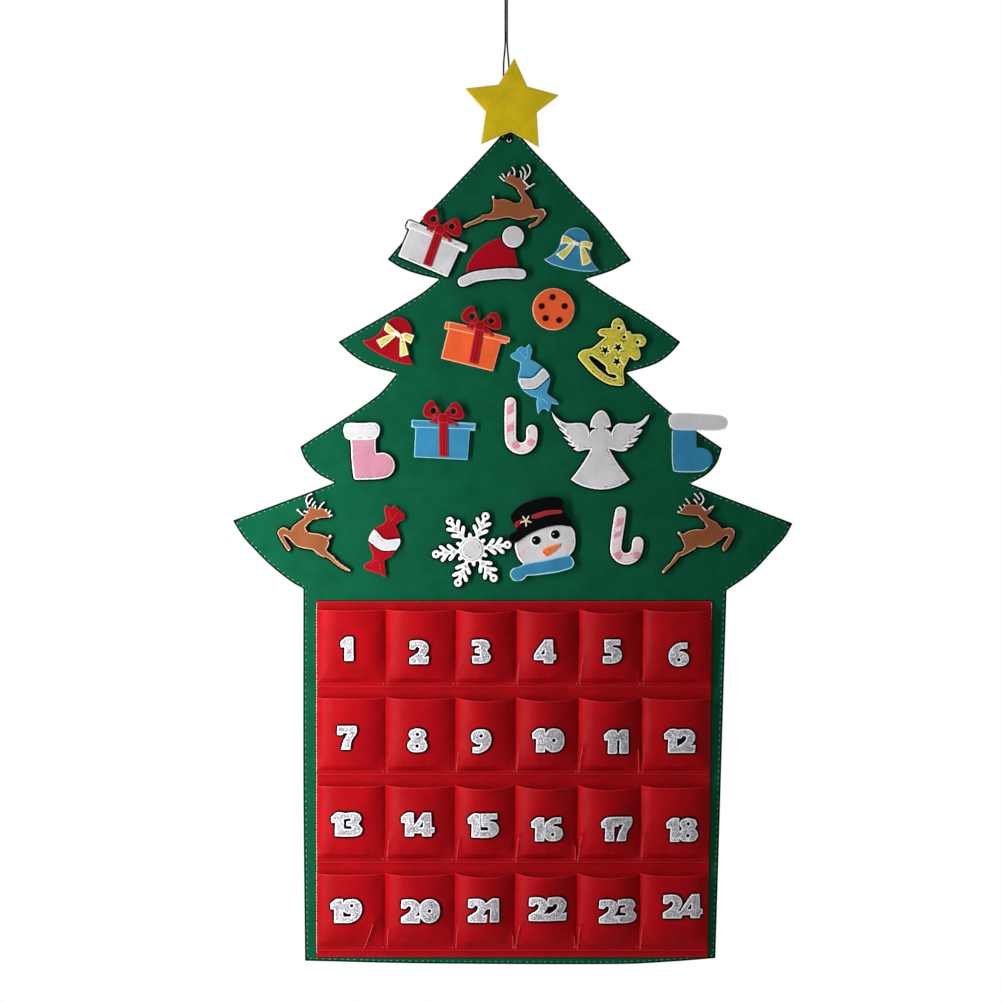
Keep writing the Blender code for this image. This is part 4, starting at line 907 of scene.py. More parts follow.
# Fold ridges, most at lower corners: row, column, upper end u and v, lower end u and v, height in mm.
# In a pocket, u runs across from its left seam and v up from its foot, both from 0 to 1.
FOLD_RISE, FOLD_WIDTH = 2.1, 1.5
FOLDS = (
    (0, 1, 0.05, 0.30, 0.02, 0.08, 0.5), (0, 2, 0.05, 0.34, 0.02, 0.08, 0.7),
    (0, 3, 0.05, 0.36, 0.02, 0.08, 0.8), (0, 4, 0.07, 0.45, 0.02, 0.10, 0.9),
    (0, 5, 0.05, 0.36, 0.03, 0.08, 0.6), (0, 4, 0.95, 0.26, 0.97, 0.08, 0.6),
    (1, 2, 0.06, 0.36, 0.02, 0.08, 0.8), (1, 3, 0.05, 0.38, 0.02, 0.08, 0.8),
    (1, 4, 0.08, 0.42, 0.02, 0.08, 1.2), (1, 4, 0.95, 0.40, 0.97, 0.08, 0.9),
    (1, 5, 0.05, 0.32, 0.03, 0.08, 0.6), (1, 1, 0.05, 0.28, 0.03, 0.08, 0.5),
    (2, 1, 0.06, 0.36, 0.03, 0.08, 0.9), (2, 2, 0.08, 0.38, 0.03, 0.08, 1.0),
    (2, 3, 0.07, 0.42, 0.02, 0.06, 1.2), (2, 4, 0.08, 0.44, 0.02, 0.06, 1.1),
    (2, 5, 0.05, 0.40, 0.03, 0.08, 0.8), (2, 3, 0.96, 0.26, 0.98, 0.06, 0.8),
    (3, 0, 0.86, 0.42, 0.72, 0.08, 1.0), (3, 1, 0.05, 0.34, 0.03, 0.08, 0.9),
    (3, 2, 0.06, 0.40, 0.03, 0.08, 0.9), (3, 3, 0.10, 0.40, 0.02, 0.06, 1.2),
    (3, 4, 0.07, 0.38, 0.02, 0.06, 1.2), (3, 5, 0.05, 0.34, 0.02, 0.06, 0.8),
    (3, 2, 0.97, 0.24, 0.98, 0.06, 0.8), (3, 3, 0.96, 0.22, 0.98, 0.06, 0.8),
)


def pocket_lift(row, column, u, v):
    """How far the strip's felt stands off the backing, in metres."""
    across = ARCHED[column] * across_curve(u) + (1 - ARCHED[column]) * flat_curve(u)
    lift = across * up_curve(v) * FULLNESS[column] * DEPTH
    seed = row * 7 + column
    # Seams and foot stay sewn down: uneven felt, puckers and a wavy foot fade there
    soft = min(1.0, lift / (4 * MM))
    lift += soft * 0.9 * MM * noise.noise(Vector((u * 2.0 + v + seed * 3.1, v * 2.6 - u, seed)))
    for side in (u, 1 - u):
        pucker = math.exp(-((side - 0.05) / 0.07) ** 2)
        lift += soft * 0.35 * MM * pucker * math.sin(v * (17 + seed % 3) + seed) * min(1.0, 8 * v)
    lift += soft * 0.30 * MM * math.exp(-((v - 0.14) / 0.07) ** 2) * math.sin(u * (22 + seed % 5) + 2 * seed)
    for r, c, u0, v0, u1, v1, height in FOLDS:
        if r == row and c == column:
            t = ((u - u0) * (u1 - u0) + (v - v0) * (v1 - v0)) / ((u1 - u0) ** 2 + (v1 - v0) ** 2)
            t = min(1.0, max(0.0, t))
            far = math.hypot((u - u0 - t * (u1 - u0)) * WIDE, (v - v0 - t * (v1 - v0)) * TALL)
            along = 0.4 + 0.6 * math.sin(math.pi * min(1, t + 0.15))
            lift += FOLD_RISE * height * MM * math.exp(-(far / FOLD_WIDTH) ** 2) * along
    return max(0.0, lift)


def on_pocket(row, column, u, v):
    """The x and z of a place in a pocket; the mouth's sag lowers the middle."""
    share = SEAMS[column] + u * (SEAMS[column + 1] - SEAMS[column])
    sag = MOUTH_SAG * SAG[column] * 4 * u * (1 - u)
    z = strip_foot(row) + v * (STRIP_HEIGHT - sag)
    return panel_x(share, z), z


def pocket_row(row):
    """One strip's felt: denser points towards the seams, sewn-in channels and a hemmed mouth."""
    nu, nv = 26, 34
    columns = []
    for column in range(COLUMNS):
        for i in range(nu + (column == COLUMNS - 1)):
            wave = math.cos(math.pi * i / nu)
            u = float(i == nu) if i in (0, nu) else 0.5 - 0.5 * wave * (0.8 + 0.2 * abs(wave))
            columns.append((column, u))
    ups = [0.5 * t + 0.5 * t**1.5 for t in np.linspace(0, 1, nv + 1)]
    near, far, verts, rim = [], [], [], []
    for column, u in columns:
        seam = min(u, 1 - u) * (SEAMS[column + 1] - SEAMS[column]) * ALL_WIDE
        a, b = [], []
        for v in ups:
            x, z = on_pocket(row, column, u, v)
            y = STRIP_BACK - pocket_lift(row, column, u, v)
            dip = 0.25 * MM * (math.exp(-((v * TALL - FOOT_SEAM) / 0.9) ** 2) + math.exp(-(seam / 0.8) ** 2))
            hem = 0.35 * MM * math.exp(-((1 - v) * TALL / 2.6) ** 2)
            d = min((1 - v) * TALL * MM, v * TALL * MM)
            round_in = 0.5 * MM * (1 - min(1.0, d / (0.7 * MM))) ** 2
            verts.append((x, y - STRIP_FELT + dip - hem + round_in, z))
            a.append(len(verts) - 1)
            rim.append(d)
            verts.append((x, y + 0.1 * hem - round_in * 0.6, z))
            b.append(len(verts) - 1)
            rim.append(d)
        near.append(a)
        far.append(b)
    faces, m = [], len(columns)
    for i in range(m - 1):
        for j in range(nv):
            faces.append([near[i][j], near[i + 1][j], near[i + 1][j + 1], near[i][j + 1]])
            faces.append([far[i][j], far[i][j + 1], far[i + 1][j + 1], far[i + 1][j]])
        faces.append([near[i][0], far[i][0], far[i + 1][0], near[i + 1][0]])
        faces.append([near[i][nv], near[i + 1][nv], far[i + 1][nv], far[i][nv]])
    for j in range(nv):
        faces.append([near[0][j], near[0][j + 1], far[0][j + 1], far[0][j]])
        faces.append([near[-1][j], far[-1][j], far[-1][j + 1], near[-1][j + 1]])
    made = add_mesh(f"pocket_strip_{row + 1}", verts, faces, RED, "tree", rim, [f"pocket_row_{row + 1}"])
    made.data.set_sharp_from_angle(angle=math.radians(SHARP))
    return made


def strip_line(row, points):
    """3D points on a strip's front from (column, u, v) places."""
    out = []
    for column, u, v in points:
        x, z = on_pocket(row, column, u, v)
        out.append((x, STRIP_BACK - pocket_lift(row, column, u, v) - STRIP_FELT - 0.05 * MM, z))
    return out


last_column = COLUMNS - 1
for row in range(ROWS):
    pocket_row(row)
    low = [(c, u, FOOT_SEAM / TALL) for c in range(COLUMNS) for u in np.linspace(0, 1, 20, endpoint=False)]
    low.append((last_column, 1.0, FOOT_SEAM / TALL))
    running(f"strip_{row + 1}_foot_stitches", strip_line(row, low), *SEAM_THREAD, closed=False,
            start=1.5 * MM)
    for seam in range(COLUMNS + 1):
        where = (seam, 0.0) if seam < COLUMNS else (last_column, 1.0)
        up = [(*where, v) for v in np.linspace(FOOT_SEAM / TALL, 0.985, 30)]
        shift = {0: 1.4 * MM, COLUMNS: -1.4 * MM}.get(seam, 0.0)
        line = [(x + shift, y, z) for x, y, z in strip_line(row, up)]
        running(f"strip_{row + 1}_seam_{seam + 1}_stitches", line, *SEAM_THREAD, closed=False, start=1.0 * MM)

for seam in range(1, COLUMNS):
    line = [(panel_x(SEAMS[seam], z), BEHIND, z)
            for z in np.linspace(PANEL_TOP - 9 * MM, PANEL_TOP - PANEL_HEIGHT + 6 * MM, 60)]
    running(f"seam_{seam}_stitches_back", line, *SEAM_THREAD, closed=False, lift=-STITCH_LIFT)
for row in range(ROWS):
    z = strip_foot(row) + FOOT_SEAM * MM
    line = [(panel_x(share, z), BEHIND, z) for share in np.linspace(0.01, 0.99, 60)]
    running(f"foot_{row + 1}_stitches_back", line, *SEAM_THREAD, closed=False, lift=-STITCH_LIFT)


def on_strips(name, lines, radius, material):
    """Short threads on the strips, from lines of (row, column, u, v) places; each sinks in at its ends."""
    laid = []
    for line in lines:
        points, _ = spline(strip_line(line[0][0], [place[1:] for place in line]), 0.6 * MM)
        count = len(points)
        for i in range(count):
            sunk = max(0.0, 1 - min(i, count - 1 - i) / (0.4 * count))
            points[i][1] += 0.9 * radius * sunk ** 2
        laid.append(points)
    threads(name, laid, radius, material, "tree")


def crest(fold):
    """The crest of a fold ridge, from low beside the seam to its upper end."""
    row, column, u0, v0, u1, v1, _ = fold
    return [(row, column, u1 + (u0 - u1) * t, v1 + (v0 - v1) * t) for t in np.linspace(-0.15, 0.8, 7)]


# Painted highlights: light red threads along the fold crests where the light catches them; beside each seam's
# foot, short tacks of the same thread, partly real bar tacks and partly painted highlight
on_strips("fold_crest_highlights", [crest(fold) for fold in FOLDS if fold[-1] >= 0.8], 0.36 * MM, CREST_HIGHLIGHT)
beside_seams = [(c, 0.03) for c in range(1, COLUMNS)] + [(c, 0.97) for c in range(COLUMNS - 1)]
on_strips("seam_tacks_and_highlights", [[(row, column, u, v) for v in np.linspace(0.03, 0.058, 3)] for row in range(ROWS)
                         for column, u in beside_seams], 0.34 * MM, CREST_HIGHLIGHT)


def side_line(share, shift, top, low):
    """A line down the panel's side, over strips and gaps."""
    out = []
    for z in np.linspace(top, low, int((top - low) / (1.2 * MM))):
        over = any(strip_foot(row) <= z <= strip_foot(row) + STRIP_HEIGHT for row in range(ROWS))
        out.append((panel_x(share, z) + shift, -6.65 * MM if over else -4.9 * MM, z))
    return out


side_top, side_low = PANEL_TOP - 2 * MM, PANEL_TOP - PANEL_HEIGHT + 2 * MM
running("panel_side_left", side_line(0.0, 0.5 * MM, side_top, side_low), 3.3 * MM, 2.8 * MM, 0.48 * MM,
        STITCH_BEIGE, "tree", closed=False)
running("panel_side_right", side_line(1.0, -0.7 * MM, side_top, PANEL_TOP - 24 * MM), 3.3 * MM, 2.5 * MM,
        0.36 * MM, STITCH_BEIGE, "tree", closed=False)
for column, share in enumerate(SEAMS[1:-1]):
    for space in range(ROWS + 1):
        top = PANEL_TOP - 1.5 * MM if space == 0 else strip_foot(space - 1) - 1.5 * MM
        low = PANEL_TOP - PANEL_HEIGHT + 1.5 * MM
        if space < ROWS:
            low = strip_foot(space) + STRIP_HEIGHT + 0.5 * MM
        line = [(panel_x(share, z), -4.85 * MM, z) for z in np.linspace(top, low, 12)]
        running(f"backing_seam_{column + 1}_{space + 1}", line, *SEAM_THREAD, closed=False, start=0.3 * MM)


# Numbers

def strip_front(row):
    """The height of a strip's front over the panel, as a function of the place on it."""
    def height(x, z):
        left, right = panel_x(0.0, z), panel_x(1.0, z)
        share = min(1.0, max(0.0, (x - left) / (right - left)))
        column = min(COLUMNS - 1, int(np.searchsorted(SEAMS, share, side="right")) - 1)
        u = (share - SEAMS[column]) / (SEAMS[column + 1] - SEAMS[column])
        v = (z - strip_foot(row)) / (STRIP_HEIGHT - MOUTH_SAG * SAG[column] * 4 * u * (1 - u))
        return STRIP_BACK - STRIP_FELT - pocket_lift(row, column, u, min(1.0, max(0.0, v)))
    return height


def widened(line, distance):
    """The loop moved outwards and smoothed, as a list of places."""
    return [tuple(q) for q in smooth_line(outset(line, distance), 2)]


# Each number lies on its pocket's bulge, over a thin dark layer that paints the shadow round it as a dark
# line
for number in range(1, ROWS * COLUMNS + 1):
    node = f"number_{number:02d}"
    whole, _, _ = regions(node, lean=True)
    lies_on = strip_front((number - 1) // COLUMNS)
    slab(f"{node}_felt", whole, -1.75 * MM, -0.1 * MM, GLITTER, "tree", step=0.7 * MM, grid=2.0 * MM,
         edge=0.45 * MM, crown=0.05 * MM, wave=0.03 * MM, slope=lies_on, soft=0.4 * MM, replaces=[node],
         seed=number)
    widest = max((smooth_loop(loop, 0.8 * MM, 0.5 * MM) for loop in whole),
                 key=lambda line: np.ptp(line[:, 0]))
    slab(f"{node}_under", [widened(widest, 1.9 * MM)], -1.0 * MM, 0.1 * MM, NUMBER_SHADOW, "tree", step=1.0 * MM,
         grid=3 * MM, edge=0.2 * MM, crown=0, wave=0, slope=lies_on, rings=(0.3,), seed=number)


# Ornaments

PLATE, TRIM = -7.3 * MM, -9.1 * MM      # fronts of an ornament's plate and of the trim on it
PHOTO_MIDDLE, NAIL_ABOVE = 506.2, 22    # the nail's column, and its height over the photograph's top row
PIXEL = 1.071                           # mm in a pixel


def px(points):
    """World places of points on the front, given in the photograph's pixels."""
    return [((x - PHOTO_MIDDLE) * PIXEL * MM, -(y + NAIL_ABOVE) * PIXEL * MM) for x, y in points]


def turned(points, at, degrees):
    """The points turned and moved to a place."""
    c, s = math.cos(math.radians(degrees)), math.sin(math.radians(degrees))
    return [(at[0] + c * x - s * y, at[1] + s * x + c * y) for x, y in points]


def area_of(points):
    """Twice the loop's area, negative when it runs the other way."""
    return sum(a[0] * b[1] - b[0] * a[1] for a, b in zip(points, points[1:] + points[:1]))


def wound(points, hole=False):
    """The loop as an outline or as a hole."""
    return points if (area_of(points) > 0) != hole else points[::-1]


def ring(x, y, rx, ry=None, sides=14):
    ry = ry or rx
    turns = [2 * math.pi * i / sides for i in range(sides)]
    return [(x + rx * math.cos(turn), y + ry * math.sin(turn)) for turn in turns]


def cut_felt(name, outline, front, back, material, body, holes=(), **more):
    """A piece of felt from an outline in pixels."""
    loops = [wound(px(outline))] + [wound(px(hole), True) for hole in holes]
    return slab(name, loops, front, back, material, body, **more)


def shade_under(name, loops, body, front=PLATE, wider=1.8, material=None):
    """The painted shadow round a piece: a thin, dark, slightly wider layer under it that shows as a dark
    line.
    """
    outer = max(loops, key=lambda loop: abs(area_of(loop)))
    slab(f"{name}_shade", [widened(smooth_loop(outer, 0.8 * MM), wider * MM)], front + 1.1 * MM,
         front + 1.65 * MM, material or PAINTED_SHADOW, body, step=1.1 * MM, grid=5 * MM, edge=0.2 * MM, crown=0,
         wave=0, rings=(0.3,))


def tubes(name, lines, y, radius, material, body):
    """Thin strips that lie on a piece's face, from lines in pixels; each sinks in a little at its ends."""
    laid = []
    for line in lines:
        points, _ = spline([(x, y, z) for x, z in px(line)], 0.6 * MM)
        for i in range(len(points)):
            t = min(i, len(points) - 1 - i) / max(1, 0.5 * radius / FINE)
            points[i][1] += 0.35 * radius * max(0, 1 - t)
        laid.append(points)
    threads(name, laid, radius, material, body)


def plate(node, material, shaded=True, front=PLATE, thick=2.0, loops=None, dot=True, **more):
    """An ornament's plate from its CAD outline, or from new loops, with its hook dot, and, when shaded, the
    painted shadow layer round it.
    """
    body = BODY[node]
    if loops is None:
        loops, _, _ = regions(node)
    slab(f"{node}_felt", loops, front, front + thick * MM, material, body, replaces=[node],
         seed=hash_of(node), **more)
    if shaded:
        shade_under(node, loops, body, front)
    if dot:
        hook_dot(node, body)


def hash_of(text):
    """A small number of its own for each name, which makes each felt uneven in its own way."""
    return sum((i + 1) * ord(c) for i, c in enumerate(text)) % 97


# painted shadow: a dark line round the red backing on the tree
shade_under("backing", backing_outline, "tree", -4.8 * MM, wider=0.9)

# Star
plate("star", YELLOW, shaded=False)
STAR_SEAM = ((481, 144.5), (495, 137.4), (510.6, 130.6), (524, 138), (537.8, 146))
running("star_stitches", [(x, PLATE - 0.2 * MM, z) for x, z in px(STAR_SEAM)], 2.5 * MM, 1.2 * MM, 0.24 * MM,
        STITCH_DARK, "star", closed=False, lift=0.15 * MM)

# Reindeer: brown felt with pale pipings; the antlers' prongs are pale strips over a dark shade. For each
# one, in the photograph's pixels: its outline, prongs, pipings, and beads as x, y and radius.
REINDEER = {
    "reindeer_top": (
        (
            (463.1, 226.2), (467.5, 222.9), (475, 219.8), (480.6, 216.5), (483.1, 214.6), (486.9, 214.4),
            (490.6, 213.1), (492.8, 210), (493.1, 205), (493, 200.6), (492, 199), (492, 196.5),
            (493.1, 195.8), (494.2, 196.8), (494.5, 199), (497.5, 200), (501.2, 199.2), (506.2, 199.8),
            (510, 201.2), (513.8, 203.1), (518.8, 203.1), (520.9, 201.2), (521.9, 198.5), (520, 195),
            (518.1, 191.9), (516.9, 189), (513.8, 186.5), (510.6, 184.6), (506.9, 182.8), (504, 181),
            (506, 178.8), (507.5, 176), (509.8, 174), (511.9, 174.8), (514.4, 176.5), (516.9, 178.8),
            (519.8, 178.2), (521.9, 178.2), (523.5, 180), (524.8, 182.5), (526.5, 184), (529.5, 185.8),
            (530, 187.2), (526.9, 189), (524.4, 190), (525, 192.5), (528.1, 196.2), (531.2, 200.6),
            (532.5, 204.4), (533.1, 207.9), (535, 209.8), (541.2, 209.1), (544.8, 210.5), (546, 213.8),
            (544, 217.8), (541, 221), (538.5, 223.5), (535.2, 226), (532.1, 226.8), (529.6, 228.8),
            (528.1, 226.8), (529.8, 224.4), (533.8, 222.9), (536.9, 220.2), (539.1, 217.5), (538, 216),
            (533.8, 216.2), (528.8, 217.5), (523.8, 219.4), (518.8, 220), (513.8, 218.8), (508.8, 217.5),
            (503.8, 217.8), (497.5, 219.4), (490, 220), (485.9, 219.6), (482.5, 221.5), (477.5, 223.4),
            (471.2, 225.5), (465.6, 228), (463, 227.5),
        ),
        (
            ((499.5, 176.6), (501.9, 179), (504.5, 181.5)), ((502.2, 173.8), (503.5, 175.5), (505, 178)),
            ((508, 176), (509, 173.8), (510.2, 172.2)),
            ((512.4, 167.5), (514.2, 170.2), (514.8, 173), (514.2, 175.5)),
            ((520.1, 171.2), (521.2, 173.5), (521.2, 177.8)),
            ((522, 167), (524.2, 169.8), (525.5, 173), (524.5, 177.8)),
            ((527.2, 165), (529.5, 167.8), (530.2, 171.5), (528.5, 175.5), (524.2, 180)),
            ((523.2, 180.8), (526.2, 184.2), (529.5, 186.8), (532, 185.2), (534.8, 184)),
            ((526, 189.2), (528.5, 187.8)),
        ),
        (
            ((518, 189.5), (519, 192.2)), ((522.2, 198), (521.2, 201.5)), ((493.1, 196.2), (493.2, 198.5)),
            ((463.5, 226.8), (468.8, 223.5), (475, 220.5), (480.5, 217.5)), ((482, 221), (485.8, 218.8)),
            ((540, 209.2), (543.5, 210), (545.2, 213.8)), ((539.2, 218.5), (535.8, 222.5)),
            ((530, 225), (529, 228)), ((530, 217.5), (535, 216.5), (537.8, 216.5)),
        ),
        (
            (493.2, 197.2, 1.3), (545.2, 213.8, 1), (543, 209.8, 0.9),
        ),
    ),
    "reindeer_left": (
        (
            (301, 513), (302.2, 512.8), (303.5, 514), (305.5, 514.5), (307.2, 512.8), (307.5, 510.8),
            (309, 509), (309.5, 506.8), (311.8, 506.8), (315.1, 508), (317.2, 509.5), (319.2, 508),
            (321.5, 508.2), (325.1, 509.5), (327, 511.2), (329.2, 513), (331.2, 514), (332, 515.8),
            (328.2, 517.2), (324.5, 517.6), (319.5, 518.2), (315.1, 519), (311, 521.2), (308, 524),
            (305.8, 527), (306, 529.9), (307.9, 532), (310.8, 533), (315.8, 533.4), (320.8, 534.2),
            (325.1, 536.5), (328.5, 537.5), (329.2, 535.8), (330.8, 534.8), (332.2, 535.8), (332, 537.2),
            (330.5, 538.2), (328.9, 539.5), (329.2, 543), (328, 546.8), (326.2, 549.2), (327.5, 551.5),
            (330, 554), (333.8, 555.9), (335.8, 559), (338.8, 561.5), (342.5, 564.5), (347.5, 567.6),
            (350.5, 569.5), (349.8, 571.5), (344.5, 569.6), (338.2, 566), (333, 562), (329.9, 559),
            (325.8, 557.1), (320.5, 555.2), (316.8, 552.1), (313.2, 549.6), (308.2, 548.9), (302, 547.8),
            (298, 546.4), (295.5, 544.9), (292.6, 541.8), (289.5, 538.2), (286, 535.5), (283.8, 535.5),
            (284.5, 538), (287, 542.4), (289.8, 546.5), (291.2, 549.2), (288.8, 551), (286.5, 548.5),
            (283.6, 544), (280.8, 539.5), (278.2, 534.2), (277.9, 531.2), (280.5, 528.5), (284, 527.5),
            (287.8, 529.5), (291.2, 530.8), (292.5, 527.2), (295.8, 524), (300.1, 520.8), (304, 518.4),
            (304.8, 516.5), (302.5, 515),
        ),
        (
            ((312.5, 493.8), (309.2, 495), (307.2, 497.5), (306.5, 500.5), (307.5, 504), (308.2, 507.8)),
            ((313, 498.5), (311, 500.5), (309.2, 504.2)), ((315.5, 501.5), (314, 503.5), (312.5, 506.2)),
            ((324.5, 502), (321.8, 504.8), (319.2, 508.5)), ((316, 505.5), (315.2, 508)),
            ((326.8, 509.2), (326, 511)), ((330.8, 510.5), (328.2, 513.8)), ((332.8, 514.8), (329.2, 516.8)),
            ((297.8, 509.5), (300.8, 512.8), (303.5, 515)), ((304.2, 511.2), (308.5, 512)),
        ),
        (
            ((315.8, 518.8), (319.5, 518)),
            ((311, 521), (307.8, 523.5), (305.2, 526.8), (305.8, 529.8), (307.5, 532.2)),
            ((327.8, 540), (328.8, 543), (327.2, 547.2), (326, 549.5)),
            ((326.8, 551.5), (332.2, 556.2), (337.2, 562), (344, 567), (349.8, 570.5)),
            ((297.5, 546), (303.2, 547.5), (309.5, 548.5), (313.8, 549.8), (318.5, 554), (324.5, 556.8)),
            ((279.5, 529.8), (278.2, 532.8), (280.8, 538.5), (284.5, 544.2), (288.5, 550.2)),
            ((283.5, 535), (287, 536), (290.8, 539.5), (295.5, 544.5)),
            ((280.5, 528.8), (284, 527.8), (288.2, 529.8)),
            ((309.5, 533.2), (315.8, 533.8), (322, 535.2), (327, 537.5)),
        ),
        (
            (298, 509.9, 1.3), (330.6, 536.1, 1.4), (289, 550, 1), (349.8, 570.5, 0.9),
        ),
    ),
    "reindeer_right": (
        (
            (661.8, 572.2), (663, 570), (667, 566.6), (670.2, 562.6), (673.2, 558.2), (675.8, 554.1),
            (678.6, 552), (682.1, 551), (683.8, 548.5), (684.2, 545.4), (682.8, 541), (680.8, 537),
            (678, 534), (677.5, 532), (678.8, 531.2), (680.2, 532.5), (683.6, 533.8), (688, 531.4),
            (694.2, 529.5), (700.5, 529.5), (704.6, 528.9), (706.2, 526.6), (705.5, 524.1), (703.2, 521.2),
            (700.8, 518.2), (698.2, 515.8), (693, 515.6), (688, 514.8), (683, 514.4), (678.6, 512.8),
            (678.2, 511.2), (680.8, 510), (683.8, 507.5), (686.8, 505), (690.8, 504.2), (694.2, 505),
            (699.2, 504.4), (701.8, 505.8), (703.6, 507.6), (706.1, 510.1), (709.2, 509.5), (711.5, 507.5),
            (713, 508.2), (711.5, 510.8), (709, 513), (706.5, 514.8), (708.2, 517.8), (712, 520.1),
            (716.4, 522.1), (718.9, 525.1), (722, 528.9), (726.1, 528.2), (730.1, 527.6), (732.6, 529.5),
            (734.4, 533.5), (733.4, 537.5), (730.9, 542.5), (727.8, 547.5), (725.2, 550.8), (723, 551.5),
            (721.9, 548), (723.8, 544.1), (726.5, 539.8), (728.8, 536.2), (727.1, 535.6), (724.2, 536.2),
            (720.8, 539.5), (715.5, 542.6), (709.9, 545.8), (704.2, 547), (698, 546.4), (694.2, 548.9),
            (689.2, 552), (684.9, 554.5), (680.2, 556.2), (677, 560), (673.2, 563.8), (669.5, 567.5),
            (665.8, 571.5), (663.2, 573.5), (661.8, 573.2),
        ),
        (
            ((679.5, 506.5), (680.8, 508.2), (682, 510.2)), ((677.5, 511.5), (680, 512.8)),
            ((685.5, 498.5), (687.2, 500.5), (689.5, 503.5)), ((683.5, 504.5), (685.2, 505.8)),
            ((694, 499.2), (695.5, 501), (697.2, 503.2)), ((694.2, 493.5), (697, 496.2), (699.5, 499.8)),
            ((699.8, 492.8), (702, 495.5), (703.5, 498.8), (702.5, 502.2), (700.2, 504.8)),
            ((708.5, 509.2), (711, 507.2), (713, 506.5)), ((702, 507), (706, 510.5)),
        ),
        (
            ((698.5, 516), (700.8, 518.2), (703.2, 520.8)), ((704.8, 523.5), (706.2, 525), (708.2, 526.2)),
            ((678.8, 532.5), (681.2, 536.2), (682.8, 540.5), (684.8, 544.8)), ((684.8, 547), (683.2, 550)),
            ((677.8, 554), (674.8, 557.8), (670.5, 563.2), (665.8, 567.2), (663.5, 571.5)),
            ((725.5, 528.8), (730, 528), (733, 530), (734, 533.5)), ((723.8, 547.2), (723, 550.5)),
            ((698.2, 546.2), (704.5, 546.8), (710, 545.5), (715.8, 542.2)),
            ((680.8, 555.8), (689.2, 551.5), (695.5, 547.8)),
            ((684.2, 533.8), (689.2, 531.2), (695.5, 529.8), (701.8, 529.8)),
        ),
        (
            (663.2, 571.6, 1.3), (678.8, 532.8, 1.4), (712.5, 506.6, 1.2),
        ),
    ),
}
for node, (outline, prongs, pipes, beads) in REINDEER.items():
    plate(node, BROWN, loops=[wound(px(outline))], soft=0.3 * MM, step=0.6 * MM)
    # painted shade: a wider dark strip under each prong
    tubes(f"{node}_prong_shade", prongs, PLATE + 1.3 * MM, 1.75 * MM, INK_AND_SHADE, BODY[node])
    tubes(f"{node}_prongs", prongs, PLATE + 0.1 * MM, 0.85 * MM, STITCH_SNOW, BODY[node])
    tubes(f"{node}_piping", pipes, PLATE + 0.12 * MM, 0.5 * MM, STITCH_TAN, BODY[node])
    for i, (x, y, r) in enumerate(beads):
        slab(f"{node}_bead_{i + 1}", [wound(px(ring(x, y, r, sides=10)))], PLATE - 0.5 * MM, PLATE + 0.8 * MM,
             BONE, BODY[node], step=0.5 * MM, grid=1.0 * MM, edge=0.4 * MM, rings=(0.15, 0.4))

# Presents: box, lid, and a bow of two pierced loops, two tails, a band and a knot
RIBBON = {
    "loop_left": ((-20, -5), (-18, -12), (-13, -17.3), (-9.5, -17.3), (-5, -10), (-1.5, -4), (-5, -0.5),
                  (-13, 0.3), (-18, -1.5)),
    "loop_right": ((1, -5), (6, -11.5), (10, -15.3), (15, -15.5), (19, -10), (21.3, -2.5), (20.3, 0.7),
                   (14.5, 1.6), (9, 0.6), (3, -1.5)),
    "tail_left": ((-12, 6), (-13.2, 3), (-6, -2), (-0.5, 0), (-3, 4), (-5.5, 3.2), (-7.5, 6.8), (-9.3, 4.6)),
    "tail_right": ((1, -1), (11.5, 3.2), (15.4, 8), (12.4, 9), (10.4, 6.6), (7.4, 7), (2, 4)),
    "band": ((-4.3, 0), (4.7, 0), (5.0, 38.8), (-3.9, 38.4)),
    "knot": ((-4.6, -3.6), (0, -4.6), (4.6, -3.4), (5.6, 1), (4.4, 4.6), (0, 5.4), (-4.4, 4.4), (-5.4, 0.5)),
}
LOOP_HOLES = {"loop_left": ring(-9.6, -7, 2.9, 3.3), "loop_right": ring(10.2, -6.6, 2.9, 3.0)}
RIBBON_DEPTHS = {"band": (-8.6, -7.5), "knot": (-9.5, -8.2)}
LID = ((-31.5, 2), (-16, 2.4), (32, 6.2), (32.3, 11.6), (-31, 9.4))
RIBBON_FOLDS = (((-0.8, 5), (-0.5, 20), (-0.6, 38)), ((2.4, 5), (2.7, 20), (2.8, 38.4)))
for colour, box, at, tilt in (
    ("blue", BLUE, (443, 418), 0), ("orange", ORANGE, (480, 325.5), 11), ("white", WHITE, (440, 229.5), 20.5),
):
    node, ribbon = f"gift_box_{colour}", f"gift_ribbon_{colour}"
    body = BODY[node]
    plate(node, box, shaded=colour == "white")
    cut_felt(f"{node}_lid", turned(LID, at, tilt), PLATE - 0.35 * MM, PLATE + 0.4 * MM, box, body,
             edge=0.4 * MM)
    for i, (part, outline) in enumerate(RIBBON.items()):
        holes = [turned(LOOP_HOLES[part], at, tilt)] if part in LOOP_HOLES else []
        front, back = RIBBON_DEPTHS.get(part, (-9.1, -7.7))
        cut_felt(f"{ribbon}_{part}", turned(outline, at, tilt), front * MM, back * MM, BOX_RED, body,
                 holes=holes, replaces=[] if i else [ribbon], edge=0.6 * MM, crown=0.35 * MM, grid=1.8 * MM,
                 seed=len(part))
    tubes(f"{ribbon}_folds", [turned(line, at, tilt) for line in RIBBON_FOLDS], -8.62 * MM, 0.35 * MM,
          STITCH_ROSE, body)

# Santa hat
plate("santa_hat", DEEP_RED, shaded=False)
plate("santa_hat_brim", WHITE, front=TRIM, thick=1.5, dot=False)
plate("santa_hat_pompom", WHITE, front=TRIM, thick=1.5, dot=False)

